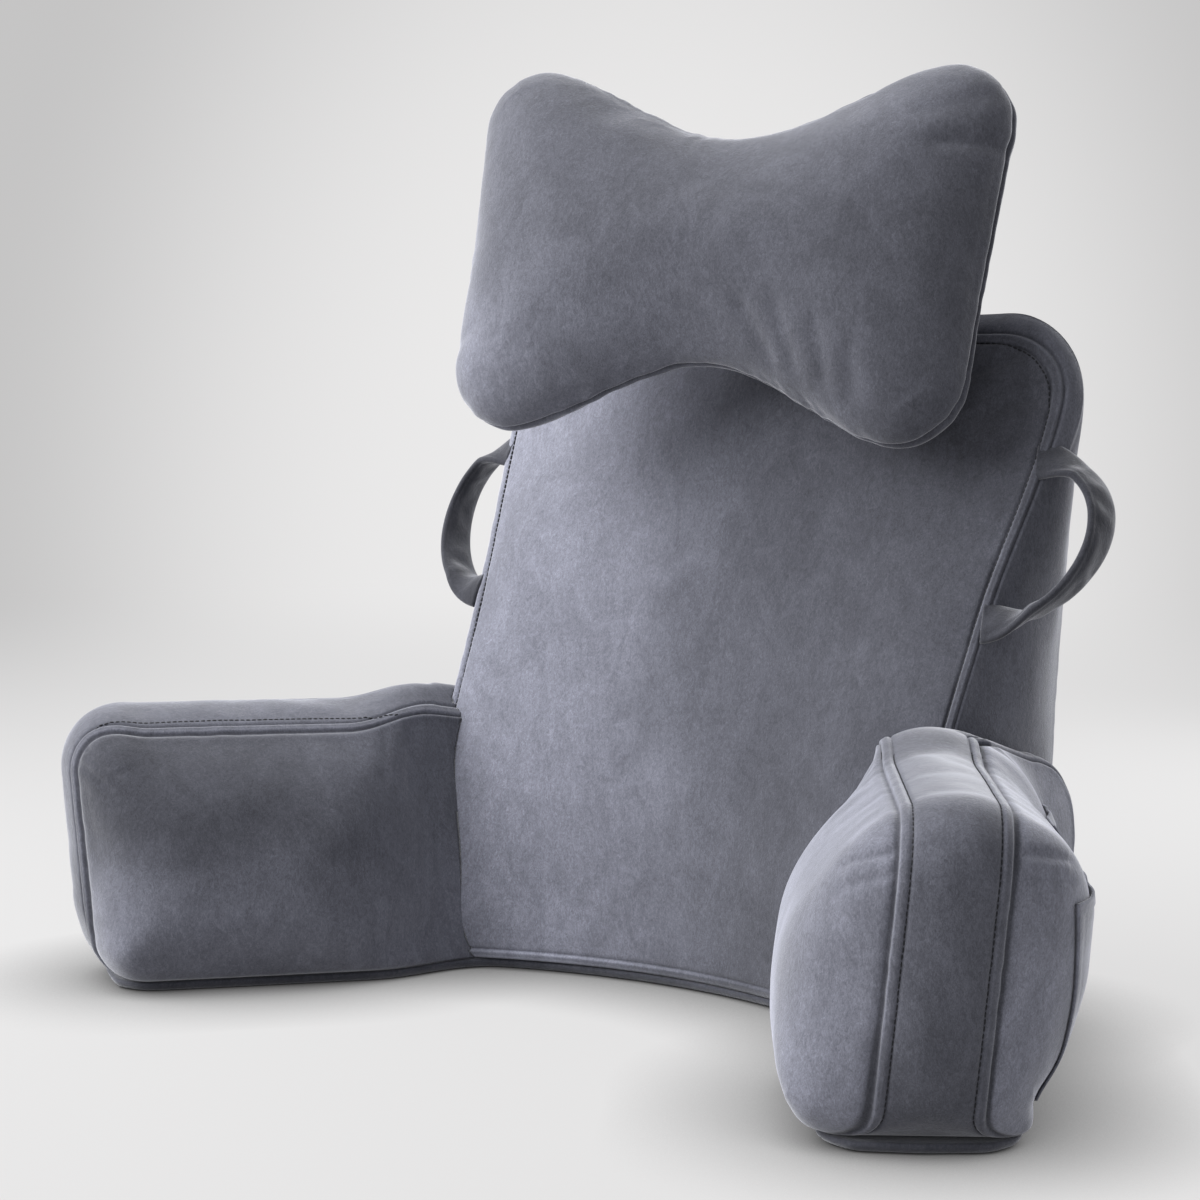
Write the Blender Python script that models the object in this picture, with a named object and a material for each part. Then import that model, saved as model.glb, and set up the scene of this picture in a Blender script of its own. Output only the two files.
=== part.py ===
"""Reading pillow: a wedge back rest, two splayed arms, a bow-tie neck pillow, handles and arm pockets.

Metres, +Z up. The origin is on the surface under the middle of the pillow's outline, the sitter faces -Y,
and +X is on the right of someone who looks at the front.
"""

import math

import bmesh
import bpy
from mathutils import Matrix, Vector

GAP = 0.0003

# Where the middle of the pillow's outline lies in depth, measured from the arms' root line
FOOTPRINT_MIDDLE_Y = -0.0259

# Back rest: a wedge, its front panel leaning back between the two side seams
BACK_HALF_WIDTH = 0.248
BACK_LOW_HALF_WIDTH = 0.236
BACK_HEIGHT = 0.500
BACK_TOP_RADIUS = 0.050
BACK_REAR_Y = 0.180
BACK_SIDE_CROWN = 0.016
BACK_FRONT_PUFF = 0.014
BACK_REAR_PUFF = 0.012
BACK_EDGE = 0.10
# Heights between which the sides stop being drawn in between the arms
BACK_DRAWN_FROM = 0.156
BACK_DRAWN_TO = 0.406
BACK_FOOT_RADIUS = 0.008
# How much wider the front panel is than the rear one at the top, and the heights between which it widens
BACK_FRONT_FLARE = 0.058
BACK_FLARE_FROM = 0.29
BACK_FLARE_TO = 0.47
# Height, depth of the front seam at the sides, and depth of the front panel's middle
BACK_PROFILE = (
    {"z": 0.012, "side_y": -0.033, "middle_y": 0.044},
    {"z": 0.110, "side_y": -0.010, "middle_y": 0.054},
    {"z": 0.210, "side_y": 0.036, "middle_y": 0.074},
    {"z": 0.320, "side_y": 0.086, "middle_y": 0.096},
    {"z": 0.430, "side_y": 0.138, "middle_y": 0.120},
    {"z": 0.505, "side_y": 0.160, "middle_y": 0.134},
)

# Arms: a boxed cushion on a line that leaves the back and turns outward
ARM_ROOT = (0.235, 0.012)
ARM_SPLAY = math.radians(37.0)
ARM_BEND_RADIUS = 0.155
ARM_LENGTH = 0.288
ARM_REAR = -0.145
ARM_SEAM_HEIGHT = 0.206
ARM_STRIP_HALF = 0.0345
ARM_BASE_HALF = 0.064
ARM_INNER_HALF = 0.096
ARM_OUTER_HALF = 0.096
ARM_LEAN = 0.09
ARM_REAR_FILL = 0.74
ARM_TOP_CROWN = 0.014
# How much of its fullness the inner panel loses toward the top, and the outer one toward the foot
ARM_INNER_SAG = 0.30
ARM_OUTER_LIFT = 0.20
# Length over which an arm's foot widens from the strip's width, and its height
ARM_FOOT_BLEND = 0.050
ARM_FOOT_HEIGHT = 0.030
ARM_EDGE = 0.085
# Along the arm, height and corner radius of the side panels' outline
ARM_OUTLINE = (
    {"u": ARM_LENGTH - 0.016, "z": 0.012, "radius": 0.030},
    {"u": ARM_LENGTH, "z": ARM_SEAM_HEIGHT + 0.001, "radius": 0.042},
    {"u": 0.020, "z": ARM_SEAM_HEIGHT, "radius": 0.200},
    {"u": ARM_REAR, "z": 0.176, "radius": 0.040},
    {"u": ARM_REAR, "z": 0.012, "radius": 0.010},
)

# Base panel under the back and both arms
BASE_HEIGHT = 0.012
BASE_ROUNDING = 0.007
# Height over the surface and inset of the rim, as shares of the panel's height and its rounding
BASE_RIM = ((0.0, 1.0), (0.25, 0.3), (0.6, 0.0), (1.0, 0.07))
# Places across the front, steps along each side of an arm, and how far the outline keeps from an arm's ends
BASE_FRONT_X = (0.0, 0.05, 0.10, 0.15)
BASE_ARM_STEPS = 12
BASE_FRONT_INSET = 0.032
BASE_FRONT_BULGE = 0.006
BASE_REAR_INSET = 0.012

# Neck pillow: two bow-tie panels sewn edge to edge
NECK_HALF_WIDTH = 0.214
NECK_END_HALF = 0.148
NECK_WAIST_HALF = 0.092
NECK_CORNER_RADIUS = 0.050
NECK_FLARE = 0.030
NECK_THICKNESS = 0.112
NECK_EDGE = 0.11
# Share of the half width over which the waist spreads
NECK_WAIST_SPREAD = 0.84
NECK_CENTRE = (0.012, 0.0680, 0.561)
NECK_YAW = math.radians(14.0)
NECK_LEAN = math.radians(17.0)
NECK_ROLL = math.radians(2.0)

# Handles: soft bands sewn into the side seams
HANDLE_WIDTH = 0.031
HANDLE_THICKNESS = 0.010
HANDLE_REACH = 0.064
# The way a loop stands out on the right, the way its ends lie along the seam, and how far in they start
HANDLE_OUT = (0.96, 0.28, 0.0)
HANDLE_ALONG = (0.0, 0.45, 1.0)
HANDLE_ROOT_INSET = 0.012
# A loop is untwisted where it stands out further than this share of its reach
HANDLE_TWIST = 0.55
HANDLE_STEPS = 26
HANDLE_SIDES = 8
HANDLE_TOP_Z = 0.408
HANDLE_BOTTOM_Z = 0.294

# Patch pockets on the outer side of the right arm: places along it of the rear edge, and of the front edge's
# upper and lower end
POCKET_THICKNESS = 0.002
POCKET_CLEARANCE = 0.0012
POCKET_BOTTOM = 0.024
POCKETS = (
    {"name": "pocket_front", "u_rear": 0.096, "u_front": 0.256, "u_foot": 0.222, "top": 0.153},
    {"name": "pocket_rear", "u_rear": 0.000, "u_front": 0.094, "u_foot": 0.094, "top": 0.172},
)
POCKET_COLUMNS = 14
POCKET_LEVELS = 13

# How nearly a panel's rounded edge is a quarter circle, which would be 1
FILL_ROUNDNESS = 0.94

# Rings of points of a filled panel: shares of its level middle, then of its rounded edge out to the seam
MIDDLE_RINGS = (0.35, 0.70)
EDGE_RINGS = (0.0, 0.30, 0.55, 0.75, 0.88, 0.96)
BOXING_RINGS = (0.0, 0.2, 0.5, 0.8, 1.0)
# Points of a pad's outline, and of the neck pillow's
PAD_POINTS = 60
NECK_POINTS = 72
# A pad's middle rings keep at least this share of its outline
LEAST_LEVEL = 0.08
# Height over the base in which a boxing's crown grows to its full size
CROWN_RISE = 0.055

# Clearance of the arms and handles where the back cuts them to fit
FIT_CLEARANCE = 0.0006
# A bottom point whose normal leans out less than this lies inside the back's flat underside
FLAT_BOTTOM_NORMAL = 0.05

CLOTH = {"colour": (0.155, 0.165, 0.205, 1.0), "roughness": 0.9}


def clear_scene():
    for item in list(bpy.data.objects):
        bpy.data.objects.remove(item, do_unlink=True)


def velour(name, shade=1.0):
    """The pillow's cloth, slightly lighter or darker for one piece."""
    material = bpy.data.materials.new(name)
    material.use_nodes = True
    surface = material.node_tree.nodes["Principled BSDF"]
    red, green, blue, alpha = CLOTH["colour"]
    surface.inputs["Base Color"].default_value = (red * shade, green * shade, blue * shade, alpha)
    surface.inputs["Roughness"].default_value = CLOTH["roughness"]
    surface.inputs["Metallic"].default_value = 0.0
    return material


def smooth_step(low, high, value):
    share = min(max((value - low) / (high - low), 0.0), 1.0)
    return share * share * (3.0 - 2.0 * share)


def read_profile(rows, column, z):
    """A row table's column at height z, on a curve through the rows."""
    heights = [row["z"] for row in rows]
    values = [row[column] for row in rows]
    z = min(max(z, heights[0]), heights[-1])
    index = max(i for i in range(len(rows) - 1) if heights[i] <= z)
    slopes = []
    for i in (index, index + 1):
        before, after = max(i - 1, 0), min(i + 1, len(rows) - 1)
        slopes.append((values[after] - values[before]) / (heights[after] - heights[before]))
    span = heights[index + 1] - heights[index]
    t = (z - heights[index]) / span
    return (
        (2 * t**3 - 3 * t**2 + 1) * values[index]
        + (t**3 - 2 * t**2 + t) * span * slopes[0]
        + (3 * t**2 - 2 * t**3) * values[index + 1]
        + (t**3 - t**2) * span * slopes[1]
    )


def rounded_outline(corners, count, arc_steps=6):
    """A closed outline of count even points through counterclockwise corners, each rounded by its radius."""
    dense = []
    for i, (a, b, radius) in enumerate(corners):
        corner = Vector((a, b))
        to_last = (Vector(corners[i - 1][:2]) - corner).normalized()
        to_next = (Vector(corners[(i + 1) % len(corners)][:2]) - corner).normalized()
        half = to_last.angle(to_next) / 2
        centre = corner + (to_last + to_next).normalized() * (radius / math.sin(half))
        spoke = corner + to_last * (radius / math.tan(half)) - centre
        turn = math.pi - 2 * half
        for k in range(arc_steps + 1):
            dense.append(centre + Matrix.Rotation(turn * k / arc_steps, 2) @ spoke)
    return resample(dense, count)


def resample(dense, count):
    """A closed line's points, count of them and evenly spaced."""
    steps = [(dense[(i + 1) % len(dense)] - dense[i]).length for i in range(len(dense))]
    pitch = sum(steps) / count
    outline, index, passed = [], 0, 0.0
    for k in range(count):
        while passed + steps[index] < k * pitch:
            passed += steps[index]
            index += 1
        share = (k * pitch - passed) / steps[index]
        outline.append(dense[index].lerp(dense[(index + 1) % len(dense)], share))
    return outline


def outward(outline):
    """The outward normals of a counterclockwise outline."""
    normals = []
    for i in range(len(outline)):
        along = outline[(i + 1) % len(outline)] - outline[i - 1]
        normals.append(Vector((along.y, -along.x)).normalized())
    return normals


def fill_share(t):
    """How full a filled panel is, from 1 in its middle at t = 0 to 0 on its seam at t = 1."""
    seam = math.sqrt(1.0 - FILL_ROUNDNESS)
    return (math.sqrt(1.0 - FILL_ROUNDNESS * t * t) - seam) / (1.0 - seam)


def place_in_model(item):
    """Hang an object on the model's frame, which brings the middle of the outline over the origin."""
    bpy.context.scene.collection.objects.link(item)
    item.parent = bpy.data.objects["model_frame"]


def finish_mesh(name, mesh, shade=1.0):
    mesh.normal_update()
    bmesh.ops.recalc_face_normals(mesh, faces=mesh.faces)
    bmesh.ops.triangulate(mesh, faces=mesh.faces)
    data = bpy.data.meshes.new(name)
    mesh.to_mesh(data)
    mesh.free()
    data.shade_smooth()
    data.materials.append(velour(f"{name}_cloth", shade))
    item = bpy.data.objects.new(name, data)
    place_in_model(item)
    return item


def close_ring(mesh, loop, first):
    """Close a ring with a ladder of faces between its long sides, which meet at the point called first."""
    count = len(loop)
    mesh.faces.new((loop[first], loop[(first + 1) % count], loop[first - 1]))
    for k in range(1, count // 2 - 1):
        near, far = (first + k) % count, (first + k + 1) % count
        mesh.faces.new((loop[near], loop[far], loop[(first - k - 1) % count], loop[(first - k) % count]))
    last = (first + count // 2) % count
    mesh.faces.new((loop[last - 1], loop[last], loop[(last + 1) % count]))


def solid_from_rings(name, rings, shade=1.0, first=0):
    """A closed solid through rings of equal and even point count."""
    mesh = bmesh.new()
    loops = [[mesh.verts.new(point) for point in ring] for ring in rings]
    count = len(loops[0])
    for loop in (loops[0], loops[-1]):
        close_ring(mesh, loop, first)
    for near, far in zip(loops, loops[1:]):
        for i in range(count):
            following = (i + 1) % count
            mesh.faces.new((near[i], far[i], far[following], near[following]))
    return finish_mesh(name, mesh, shade)


def filled_pad(name, outline, edge, place, boxing=BOXING_RINGS, shade=1.0):
    """A filled pad of two panels, each rounded over a width of edge, and the boxing between them.

    place(point, t, share, normal) gives a point in space: t is 1 on the seams and 0 where a panel is full,
    and share runs over the boxing from 0 at the first panel to 1 at the second.
    """
    normals = outward(outline)
    low = Vector((min(p.x for p in outline), min(p.y for p in outline)))
    high = Vector((max(p.x for p in outline), max(p.y for p in outline)))
    middle, half = (low + high) / 2, (high - low) / 2
    level = Vector([max(1 - edge / size, LEAST_LEVEL) for size in half])
    shrinks = [(level * share, 0.0) for share in MIDDLE_RINGS]
    shrinks += [(level.lerp(Vector((1.0, 1.0)), t), t) for t in EDGE_RINGS]

    def panel_ring(shrink, t, share):
        ring = []
        for point, normal in zip(outline, normals):
            inside = Vector(((point.x - middle.x) * shrink.x, (point.y - middle.y) * shrink.y))
            ring.append(place(middle + inside, t, share, normal))
        return ring

    rings = [panel_ring(shrink, t, 0.0) for shrink, t in shrinks]
    for share in boxing:
        rings.append([place(p, 1.0, share, n) for p, n in zip(outline, normals)])
    rings += [panel_ring(shrink, t, 1.0) for shrink, t in reversed(shrinks)]
    far_side = [i for i in range(len(outline)) if outline[i].x > middle.x]
    first = min(far_side, key=lambda i: abs(outline[i].y - middle.y))
    return solid_from_rings(name, rings, shade, first)


def grown_copy(item, distance):
    """A hidden cutter with the shape of an object, larger by a distance all round."""
    cutter = item.copy()
    cutter.name = f"{item.name}_cutter"
    cutter.data = item.data.copy()
    normals = [vertex.normal.copy() for vertex in item.data.vertices]
    for vertex, normal in zip(cutter.data.vertices, normals):
        if vertex.co.z < BASE_HEIGHT + 2 * GAP:
            vertex.co.z = 0.0
            normal.z = 0.0
            if normal.length > FLAT_BOTTOM_NORMAL:
                normal.normalize()
        vertex.co += normal * distance
    cutter.hide_render = True
    cutter.display_type = "WIRE"
    place_in_model(cutter)
    return cutter


def cut_by(item, cutter):
    cut = item.modifiers.new("fit", "BOOLEAN")
    cut.operation = "DIFFERENCE"
    cut.solver = "EXACT"
    cut.object = cutter


def back_seam_y(x, z):
    """Depth of the back's front face, before the filling puffs it out."""
    side = read_profile(BACK_PROFILE, "side_y", z)
    middle = read_profile(BACK_PROFILE, "middle_y", z)
    return middle + (side - middle) * min(abs(x) / BACK_HALF_WIDTH, 1.0) ** 2


def back_flare(z):
    return 1 + BACK_FRONT_FLARE * smooth_step(BACK_FLARE_FROM, BACK_FLARE_TO, z)


def back_point(point, t, share, normal):
    x, z = point
    front = back_seam_y(x, z) - BACK_FRONT_PUFF * fill_share(t)
    rear = BACK_REAR_Y + BACK_REAR_PUFF * fill_share(t)
    lift = smooth_step(BASE_HEIGHT, BASE_HEIGHT + CROWN_RISE, z)
    out = normal * (BACK_SIDE_CROWN * lift * 4 * share * (1 - share))
    wider = x * (back_flare(z) - 1) * (1 - share)
    return Vector((x + wider + out.x, front + (rear - front) * share, z + out.y))


def back_outline():
    """The front panel's outline in (x, z), drawn in between the arms."""
    half, low = BACK_HALF_WIDTH, BASE_HEIGHT + GAP
    corners = ((half, low, BACK_FOOT_RADIUS), (half, BACK_HEIGHT, BACK_TOP_RADIUS))
    mirrored = [(-x, z, radius) for x, z, radius in reversed(corners)]
    outline = rounded_outline((*corners, *mirrored), PAD_POINTS)
    for point in outline:
        drawn_in = 1 - smooth_step(BACK_DRAWN_FROM, BACK_DRAWN_TO, point.y)
        point.x *= 1 - drawn_in * (1 - BACK_LOW_HALF_WIDTH / half)
    return outline


def make_back():
    """The filled wedge: front panel, boxing round the sides and top, and rear panel."""
    return filled_pad("back", back_outline(), BACK_EDGE, back_point)


def arm_place(side, u, v, z):
    """The point u along an arm's line, v to its outer side and z high; side is 1 right and -1 left."""
    if u >= 0:
        heading = ARM_SPLAY
        x = ARM_ROOT[0] + u * math.sin(heading)
        y = ARM_ROOT[1] - u * math.cos(heading)
    else:
        heading = max(ARM_SPLAY + u / ARM_BEND_RADIUS, 0.0)
        x = ARM_ROOT[0] + ARM_BEND_RADIUS * (math.cos(ARM_SPLAY) - math.cos(heading))
        y = ARM_ROOT[1] + ARM_BEND_RADIUS * (math.sin(ARM_SPLAY) - math.sin(heading))
        y += max(-u - ARM_SPLAY * ARM_BEND_RADIUS, 0.0)
    v += ARM_LEAN * (z - ARM_SEAM_HEIGHT)
    return Vector((side * (x + v * math.cos(heading)), y + v * math.sin(heading), z))


def arm_seam_half(u, z, inner):
    """Half the width between an arm's seams: the strip's above, and the base seam's at the bottom."""
    front = ARM_LENGTH - BASE_ROUNDING * 2
    front_share = smooth_step(front, front - ARM_FOOT_BLEND, u)
    rear_share = smooth_step(-0.03, 0.06, u) if inner else 1.0
    base = (ARM_BASE_HALF - ARM_STRIP_HALF) * front_share * rear_share
    return ARM_STRIP_HALF + base * (1.0 - smooth_step(BASE_HEIGHT, BASE_HEIGHT + ARM_FOOT_HEIGHT, z))


def arm_outline():
    low = BASE_HEIGHT + GAP
    return rounded_outline([(row["u"], max(row["z"], low), row["radius"]) for row in ARM_OUTLINE], PAD_POINTS)


def arm_half_width(u, z, t, inner):
    """How far the inner or outer panel stands from the arm's middle plane."""
    seam = arm_seam_half(u, z, inner)
    fill = fill_share(t)
    middle = (ARM_SEAM_HEIGHT + BASE_HEIGHT) / 2
    if inner:
        lower = 1.0 - ARM_INNER_SAG * smooth_step(middle, ARM_SEAM_HEIGHT, z)
        return seam + (ARM_INNER_HALF - seam) * fill * lower * smooth_step(-0.02, 0.10, u)
    fill *= 1.0 - ARM_OUTER_LIFT * (1.0 - smooth_step(BASE_HEIGHT, middle, z)) * smooth_step(0.0, 0.10, u)
    upright = min(abs(z - middle) / (ARM_SEAM_HEIGHT - middle), 1.0)
    rear = max(1.0 + (1.0 - ARM_REAR_FILL) * min(u, 0.0) / -ARM_REAR, 0.0)
    if u < 0:
        fill = max(fill, rear * fill_share(upright))
    return seam + (ARM_OUTER_HALF - seam) * fill


def make_arm(name, side):
    """One boxed arm: inner panel, the strip over its top and front, and outer panel."""

    def place(point, t, share, normal):
        u, z = point
        inner, outer = -arm_half_width(u, z, t, True), arm_half_width(u, z, t, False)
        lift = smooth_step(BASE_HEIGHT, BASE_HEIGHT + CROWN_RISE, z)
        out = normal * (ARM_TOP_CROWN * lift * 4 * share * (1 - share))
        return arm_place(side, u + out.x, inner + (outer - inner) * share, z + out.y)

    return filled_pad(name, arm_outline(), ARM_EDGE, place)


def base_half_outline():
    """The right half of the base seam from above, from the middle of the front to the middle of the rear."""
    points = [Vector((x, back_seam_y(x, BASE_HEIGHT))) for x in BASE_FRONT_X]
    front_u = ARM_LENGTH - BASE_FRONT_INSET
    rear_u = ARM_REAR + BASE_REAR_INSET
    for k in range(BASE_ARM_STEPS + 1):
        u = -BASE_REAR_INSET + (front_u + BASE_REAR_INSET) * k / BASE_ARM_STEPS
        points.append(arm_place(1, u, -arm_seam_half(u, 0.0, True), 0.0).xy)
    points.append(arm_place(1, front_u + BASE_FRONT_BULGE, 0.0, 0.0).xy)
    for k in range(BASE_ARM_STEPS + 1):
        u = front_u + (rear_u - front_u) * k / BASE_ARM_STEPS
        points.append(arm_place(1, u, arm_seam_half(u, 0.0, False), 0.0).xy)
    points.append(Vector((BACK_LOW_HALF_WIDTH - BASE_ROUNDING, BACK_REAR_Y)))
    points.append(Vector((0.0, BACK_REAR_Y)))
    return points


def make_base():
    """The U-shaped base panel, flat underneath, its rim turned up to the base seam."""
    right = base_half_outline()
    outline = right + [Vector((-p.x, p.y)) for p in reversed(right[1:-1])]
    normals = outward(outline)
    mesh = bmesh.new()
    loops = []
    for height, inset in BASE_RIM:
        ring = [p - n * (inset * BASE_ROUNDING) for p, n in zip(outline, normals)]
        loops.append([mesh.verts.new((p.x, p.y, BASE_HEIGHT * height)) for p in ring])
    for near, far in zip(loops, loops[1:]):
        for i in range(len(outline)):
            following = (i + 1) % len(outline)
            mesh.faces.new((near[i], near[following], far[following], far[i]))
    mesh.faces.new(loops[0])
    mesh.faces.new(loops[-1])
    return finish_mesh("base_panel", mesh, 0.85)


def neck_outline():
    """The bow-tie outline: full round ends and a narrow waist."""
    half, end = NECK_HALF_WIDTH, NECK_END_HALF
    corners = [(half, -end), (half, end), (-half, end), (-half, -end)]
    outline = rounded_outline([(x, z, NECK_CORNER_RADIUS) for x, z in corners], NECK_POINTS)
    for point in outline:
        waist = 0.5 + 0.5 * math.cos(math.pi * min(abs(point.x) / (half * NECK_WAIST_SPREAD), 1.0))
        point.x *= 1 + NECK_FLARE * point.y / end
        point.y *= 1 - waist * (1 - NECK_WAIST_HALF / end)
    return outline


def make_neck_pillow():
    """Two bow-tie panels sewn edge to edge and filled, leaning on the back's top."""
    lean = Matrix.Rotation(-NECK_LEAN, 3, "X") @ Matrix.Rotation(NECK_ROLL, 3, "Y")
    pose = Matrix.Rotation(NECK_YAW, 3, "Z") @ lean

    def place(point, t, share, normal):
        depth = NECK_THICKNESS * fill_share(t) * (share - 0.5)
        return Vector(NECK_CENTRE) + pose @ Vector((point.x, depth, point.y))

    return filled_pad("neck_pillow", neck_outline(), NECK_EDGE, place, (0.5,), 1.05)


def handle_section(side, angle):
    """A loop's middle, width direction and thickness direction at an angle of its half turn."""
    half_height = (HANDLE_TOP_Z - HANDLE_BOTTOM_Z) / 2
    z = (HANDLE_TOP_Z + HANDLE_BOTTOM_Z) / 2 + half_height * math.cos(angle)
    out, along = Vector(HANDLE_OUT), Vector(HANDLE_ALONG).normalized()
    out.x *= side
    root_x = BACK_HALF_WIDTH * back_flare(z) - HANDLE_ROOT_INSET
    root = Vector((side * root_x, back_seam_y(BACK_HALF_WIDTH, z), z))
    middle = root + out * (HANDLE_REACH * math.sin(angle))
    way = (-along * half_height * math.sin(angle) + out * HANDLE_REACH * math.cos(angle)).normalized()
    twist = max(1 - math.sin(angle) / HANDLE_TWIST, 0.0)
    wide = Vector((0.0, 1.0, 0.0)).lerp(along, twist)
    wide = (wide - way * wide.dot(way)).normalized()
    return middle, wide, way.cross(wide)


def make_handle(name, side):
    """A flat tube of cloth in a half loop, its ends twisted to lie along the side seam."""
    rings = []
    for k in range(HANDLE_STEPS + 1):
        middle, wide, thin = handle_section(side, math.pi * k / HANDLE_STEPS)
        ring = []
        for j in range(HANDLE_SIDES):
            turn = 2 * math.pi * j / HANDLE_SIDES
            across, depth = HANDLE_WIDTH / 2 * math.cos(turn), HANDLE_THICKNESS / 2 * math.sin(turn)
            ring.append(middle + wide * across + thin * depth)
        rings.append(ring)
    return solid_from_rings(name, rings, 0.9)


def edge_share(outline, edge, point):
    """How far a point is through a panel's rounded edge, from 0 where it is full to 1 on the seam."""
    low = Vector((min(p.x for p in outline), min(p.y for p in outline)))
    high = Vector((max(p.x for p in outline), max(p.y for p in outline)))
    inside = min(point.x - low.x, high.x - point.x, point.y - low.y, high.y - point.y)
    return 1 - min(max(inside / edge, 0.0), 1.0)


def make_pocket(row):
    """A patch of cloth on the right arm's outer panel, open along its top hem."""
    outline = arm_outline()
    columns, levels = POCKET_COLUMNS, POCKET_LEVELS
    mesh = bmesh.new()
    grids = []
    for depth in (POCKET_CLEARANCE, POCKET_CLEARANCE + POCKET_THICKNESS):
        grid = []
        for i in range(columns + 1):
            line = []
            for j in range(levels + 1):
                front = row["u_foot"] + (row["u_front"] - row["u_foot"]) * j / levels
                u = row["u_rear"] + (front - row["u_rear"]) * i / columns
                z = POCKET_BOTTOM + (row["top"] - POCKET_BOTTOM) * j / levels
                t = edge_share(outline, ARM_EDGE, Vector((u, z)))
                line.append(mesh.verts.new(arm_place(1, u, arm_half_width(u, z, t, False) + depth, z)))
            grid.append(line)
        grids.append(grid)
    inner, outer = grids
    for i in range(columns):
        for j in range(levels):
            for grid in grids:
                mesh.faces.new((grid[i][j], grid[i + 1][j], grid[i + 1][j + 1], grid[i][j + 1]))
    rim = [(i, 0) for i in range(columns)] + [(columns, j) for j in range(levels)]
    rim += [(i, levels) for i in range(columns, 0, -1)] + [(0, j) for j in range(levels, 0, -1)]
    for (a, b), (c, d) in zip(rim, rim[1:] + rim[:1]):
        mesh.faces.new((inner[a][b], inner[c][d], outer[c][d], outer[a][b]))
    return finish_mesh(row["name"], mesh, 0.92)


def main():
    clear_scene()
    frame = bpy.data.objects.new("model_frame", None)
    frame.location = (0.0, -FOOTPRINT_MIDDLE_Y, 0.0)
    bpy.context.scene.collection.objects.link(frame)
    back = make_back()
    cutter = grown_copy(back, FIT_CLEARANCE)
    for name, side in (("right", 1), ("left", -1)):
        cut_by(make_arm(f"arm_{name}", side), cutter)
        cut_by(make_handle(f"handle_{name}", side), cutter)
    make_base()
    make_neck_pillow()
    for row in POCKETS:
        make_pocket(row)


main()
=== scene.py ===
"""Reading pillow: the looks, as velour pads with sewn seams, topstitching, handles and pockets."""

import math

import bmesh
import bpy
import numpy as np
from mathutils import Matrix, Vector, noise
from mathutils.bvhtree import BVHTree


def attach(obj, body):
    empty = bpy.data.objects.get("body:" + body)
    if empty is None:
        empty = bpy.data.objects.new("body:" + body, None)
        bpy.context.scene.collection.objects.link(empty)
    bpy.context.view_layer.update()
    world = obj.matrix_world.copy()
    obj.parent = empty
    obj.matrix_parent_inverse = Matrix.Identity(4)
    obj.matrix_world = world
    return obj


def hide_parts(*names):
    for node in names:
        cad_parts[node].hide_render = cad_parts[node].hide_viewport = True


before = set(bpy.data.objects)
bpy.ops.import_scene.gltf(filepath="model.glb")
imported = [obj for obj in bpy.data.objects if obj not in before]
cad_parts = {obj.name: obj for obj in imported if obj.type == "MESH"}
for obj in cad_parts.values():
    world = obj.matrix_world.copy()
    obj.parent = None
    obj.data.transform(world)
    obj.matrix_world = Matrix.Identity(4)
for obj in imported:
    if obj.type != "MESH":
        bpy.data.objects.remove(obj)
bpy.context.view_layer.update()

# Where the arms' root line stands in depth, in the frame
MODEL_Y = 0.0259

# Camera of the photograph: angles, distance, and the point it looks at
CAMERA_AZIMUTH = math.radians(40.0)
CAMERA_ELEVATION = math.radians(4.6)
CAMERA_DISTANCE = 2.0
CAMERA_TARGET = (-0.050, MODEL_Y, 0.300)
CAMERA_LENS = 79.5
CAMERA_SENSOR = 36.0

# Back rest
BACK_HALF_WIDTH = 0.248
BACK_LOW_HALF_WIDTH = 0.236
BACK_HEIGHT = 0.500
BACK_TOP_RADIUS = 0.050
BACK_FOOT_RADIUS = 0.020
BACK_REAR_Y = 0.180
BACK_SIDE_CROWN = 0.013
BACK_CROWN_FROM = 0.05
BACK_BOXING_PITCH = 0.010
BACK_FRONT_PUFF = 0.010
BACK_REAR_PUFF = 0.009
# Cells across and up a panel
BACK_CELLS = (74, 74)
BACK_EDGE = 0.10
# How much wider the front panel is than the rear one at the top, and the heights between which it widens
BACK_FRONT_FLARE = 0.058
BACK_FLARE_FROM = 0.29
BACK_FLARE_TO = 0.47
# Height, depth of the front seam at the sides, and depth of the front panel's middle
BACK_PROFILE = (
    {"z": 0.012, "side_y": -0.033, "middle_y": 0.044},
    {"z": 0.110, "side_y": -0.010, "middle_y": 0.054},
    {"z": 0.210, "side_y": 0.036, "middle_y": 0.074},
    {"z": 0.320, "side_y": 0.086, "middle_y": 0.096},
    {"z": 0.430, "side_y": 0.138, "middle_y": 0.120},
    {"z": 0.505, "side_y": 0.160, "middle_y": 0.134},
)

# Arms, on a line that leaves the back and turns outward
ARM_ROOT = (0.235, 0.012)
ARM_SPLAY = math.radians(37.0)
ARM_BEND_RADIUS = 0.155
ARM_LENGTH = 0.288
ARM_REAR = -0.145
ARM_SEAM_HEIGHT = 0.206
ARM_STRIP_HALF = 0.0345
ARM_BASE_HALF = 0.064
ARM_INNER_HALF = 0.093
ARM_OUTER_HALF = 0.093
ARM_LEAN = 0.09
ARM_REAR_FILL = 0.74
ARM_INNER_SAG = 0.30
ARM_INNER_PLUMP = 0.85
ARM_INNER_DROOP = 0.004
ARM_OUTER_LIFT = 0.20
ARM_TOP_CROWN = 0.011
ARM_CROWN_FROM = 0.06
ARM_STRIP_PITCH = 0.006
ARM_CELLS = (58, 88)
ARM_EDGE = 0.085
# How far the left arm's inner seam has rolled down, and how much both arms rise against the back
ARM_LEFT_ROLL = 0.015
ARM_LEFT_DRAW = 0.030
ARM_ROOT_RISE = 0.012
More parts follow.
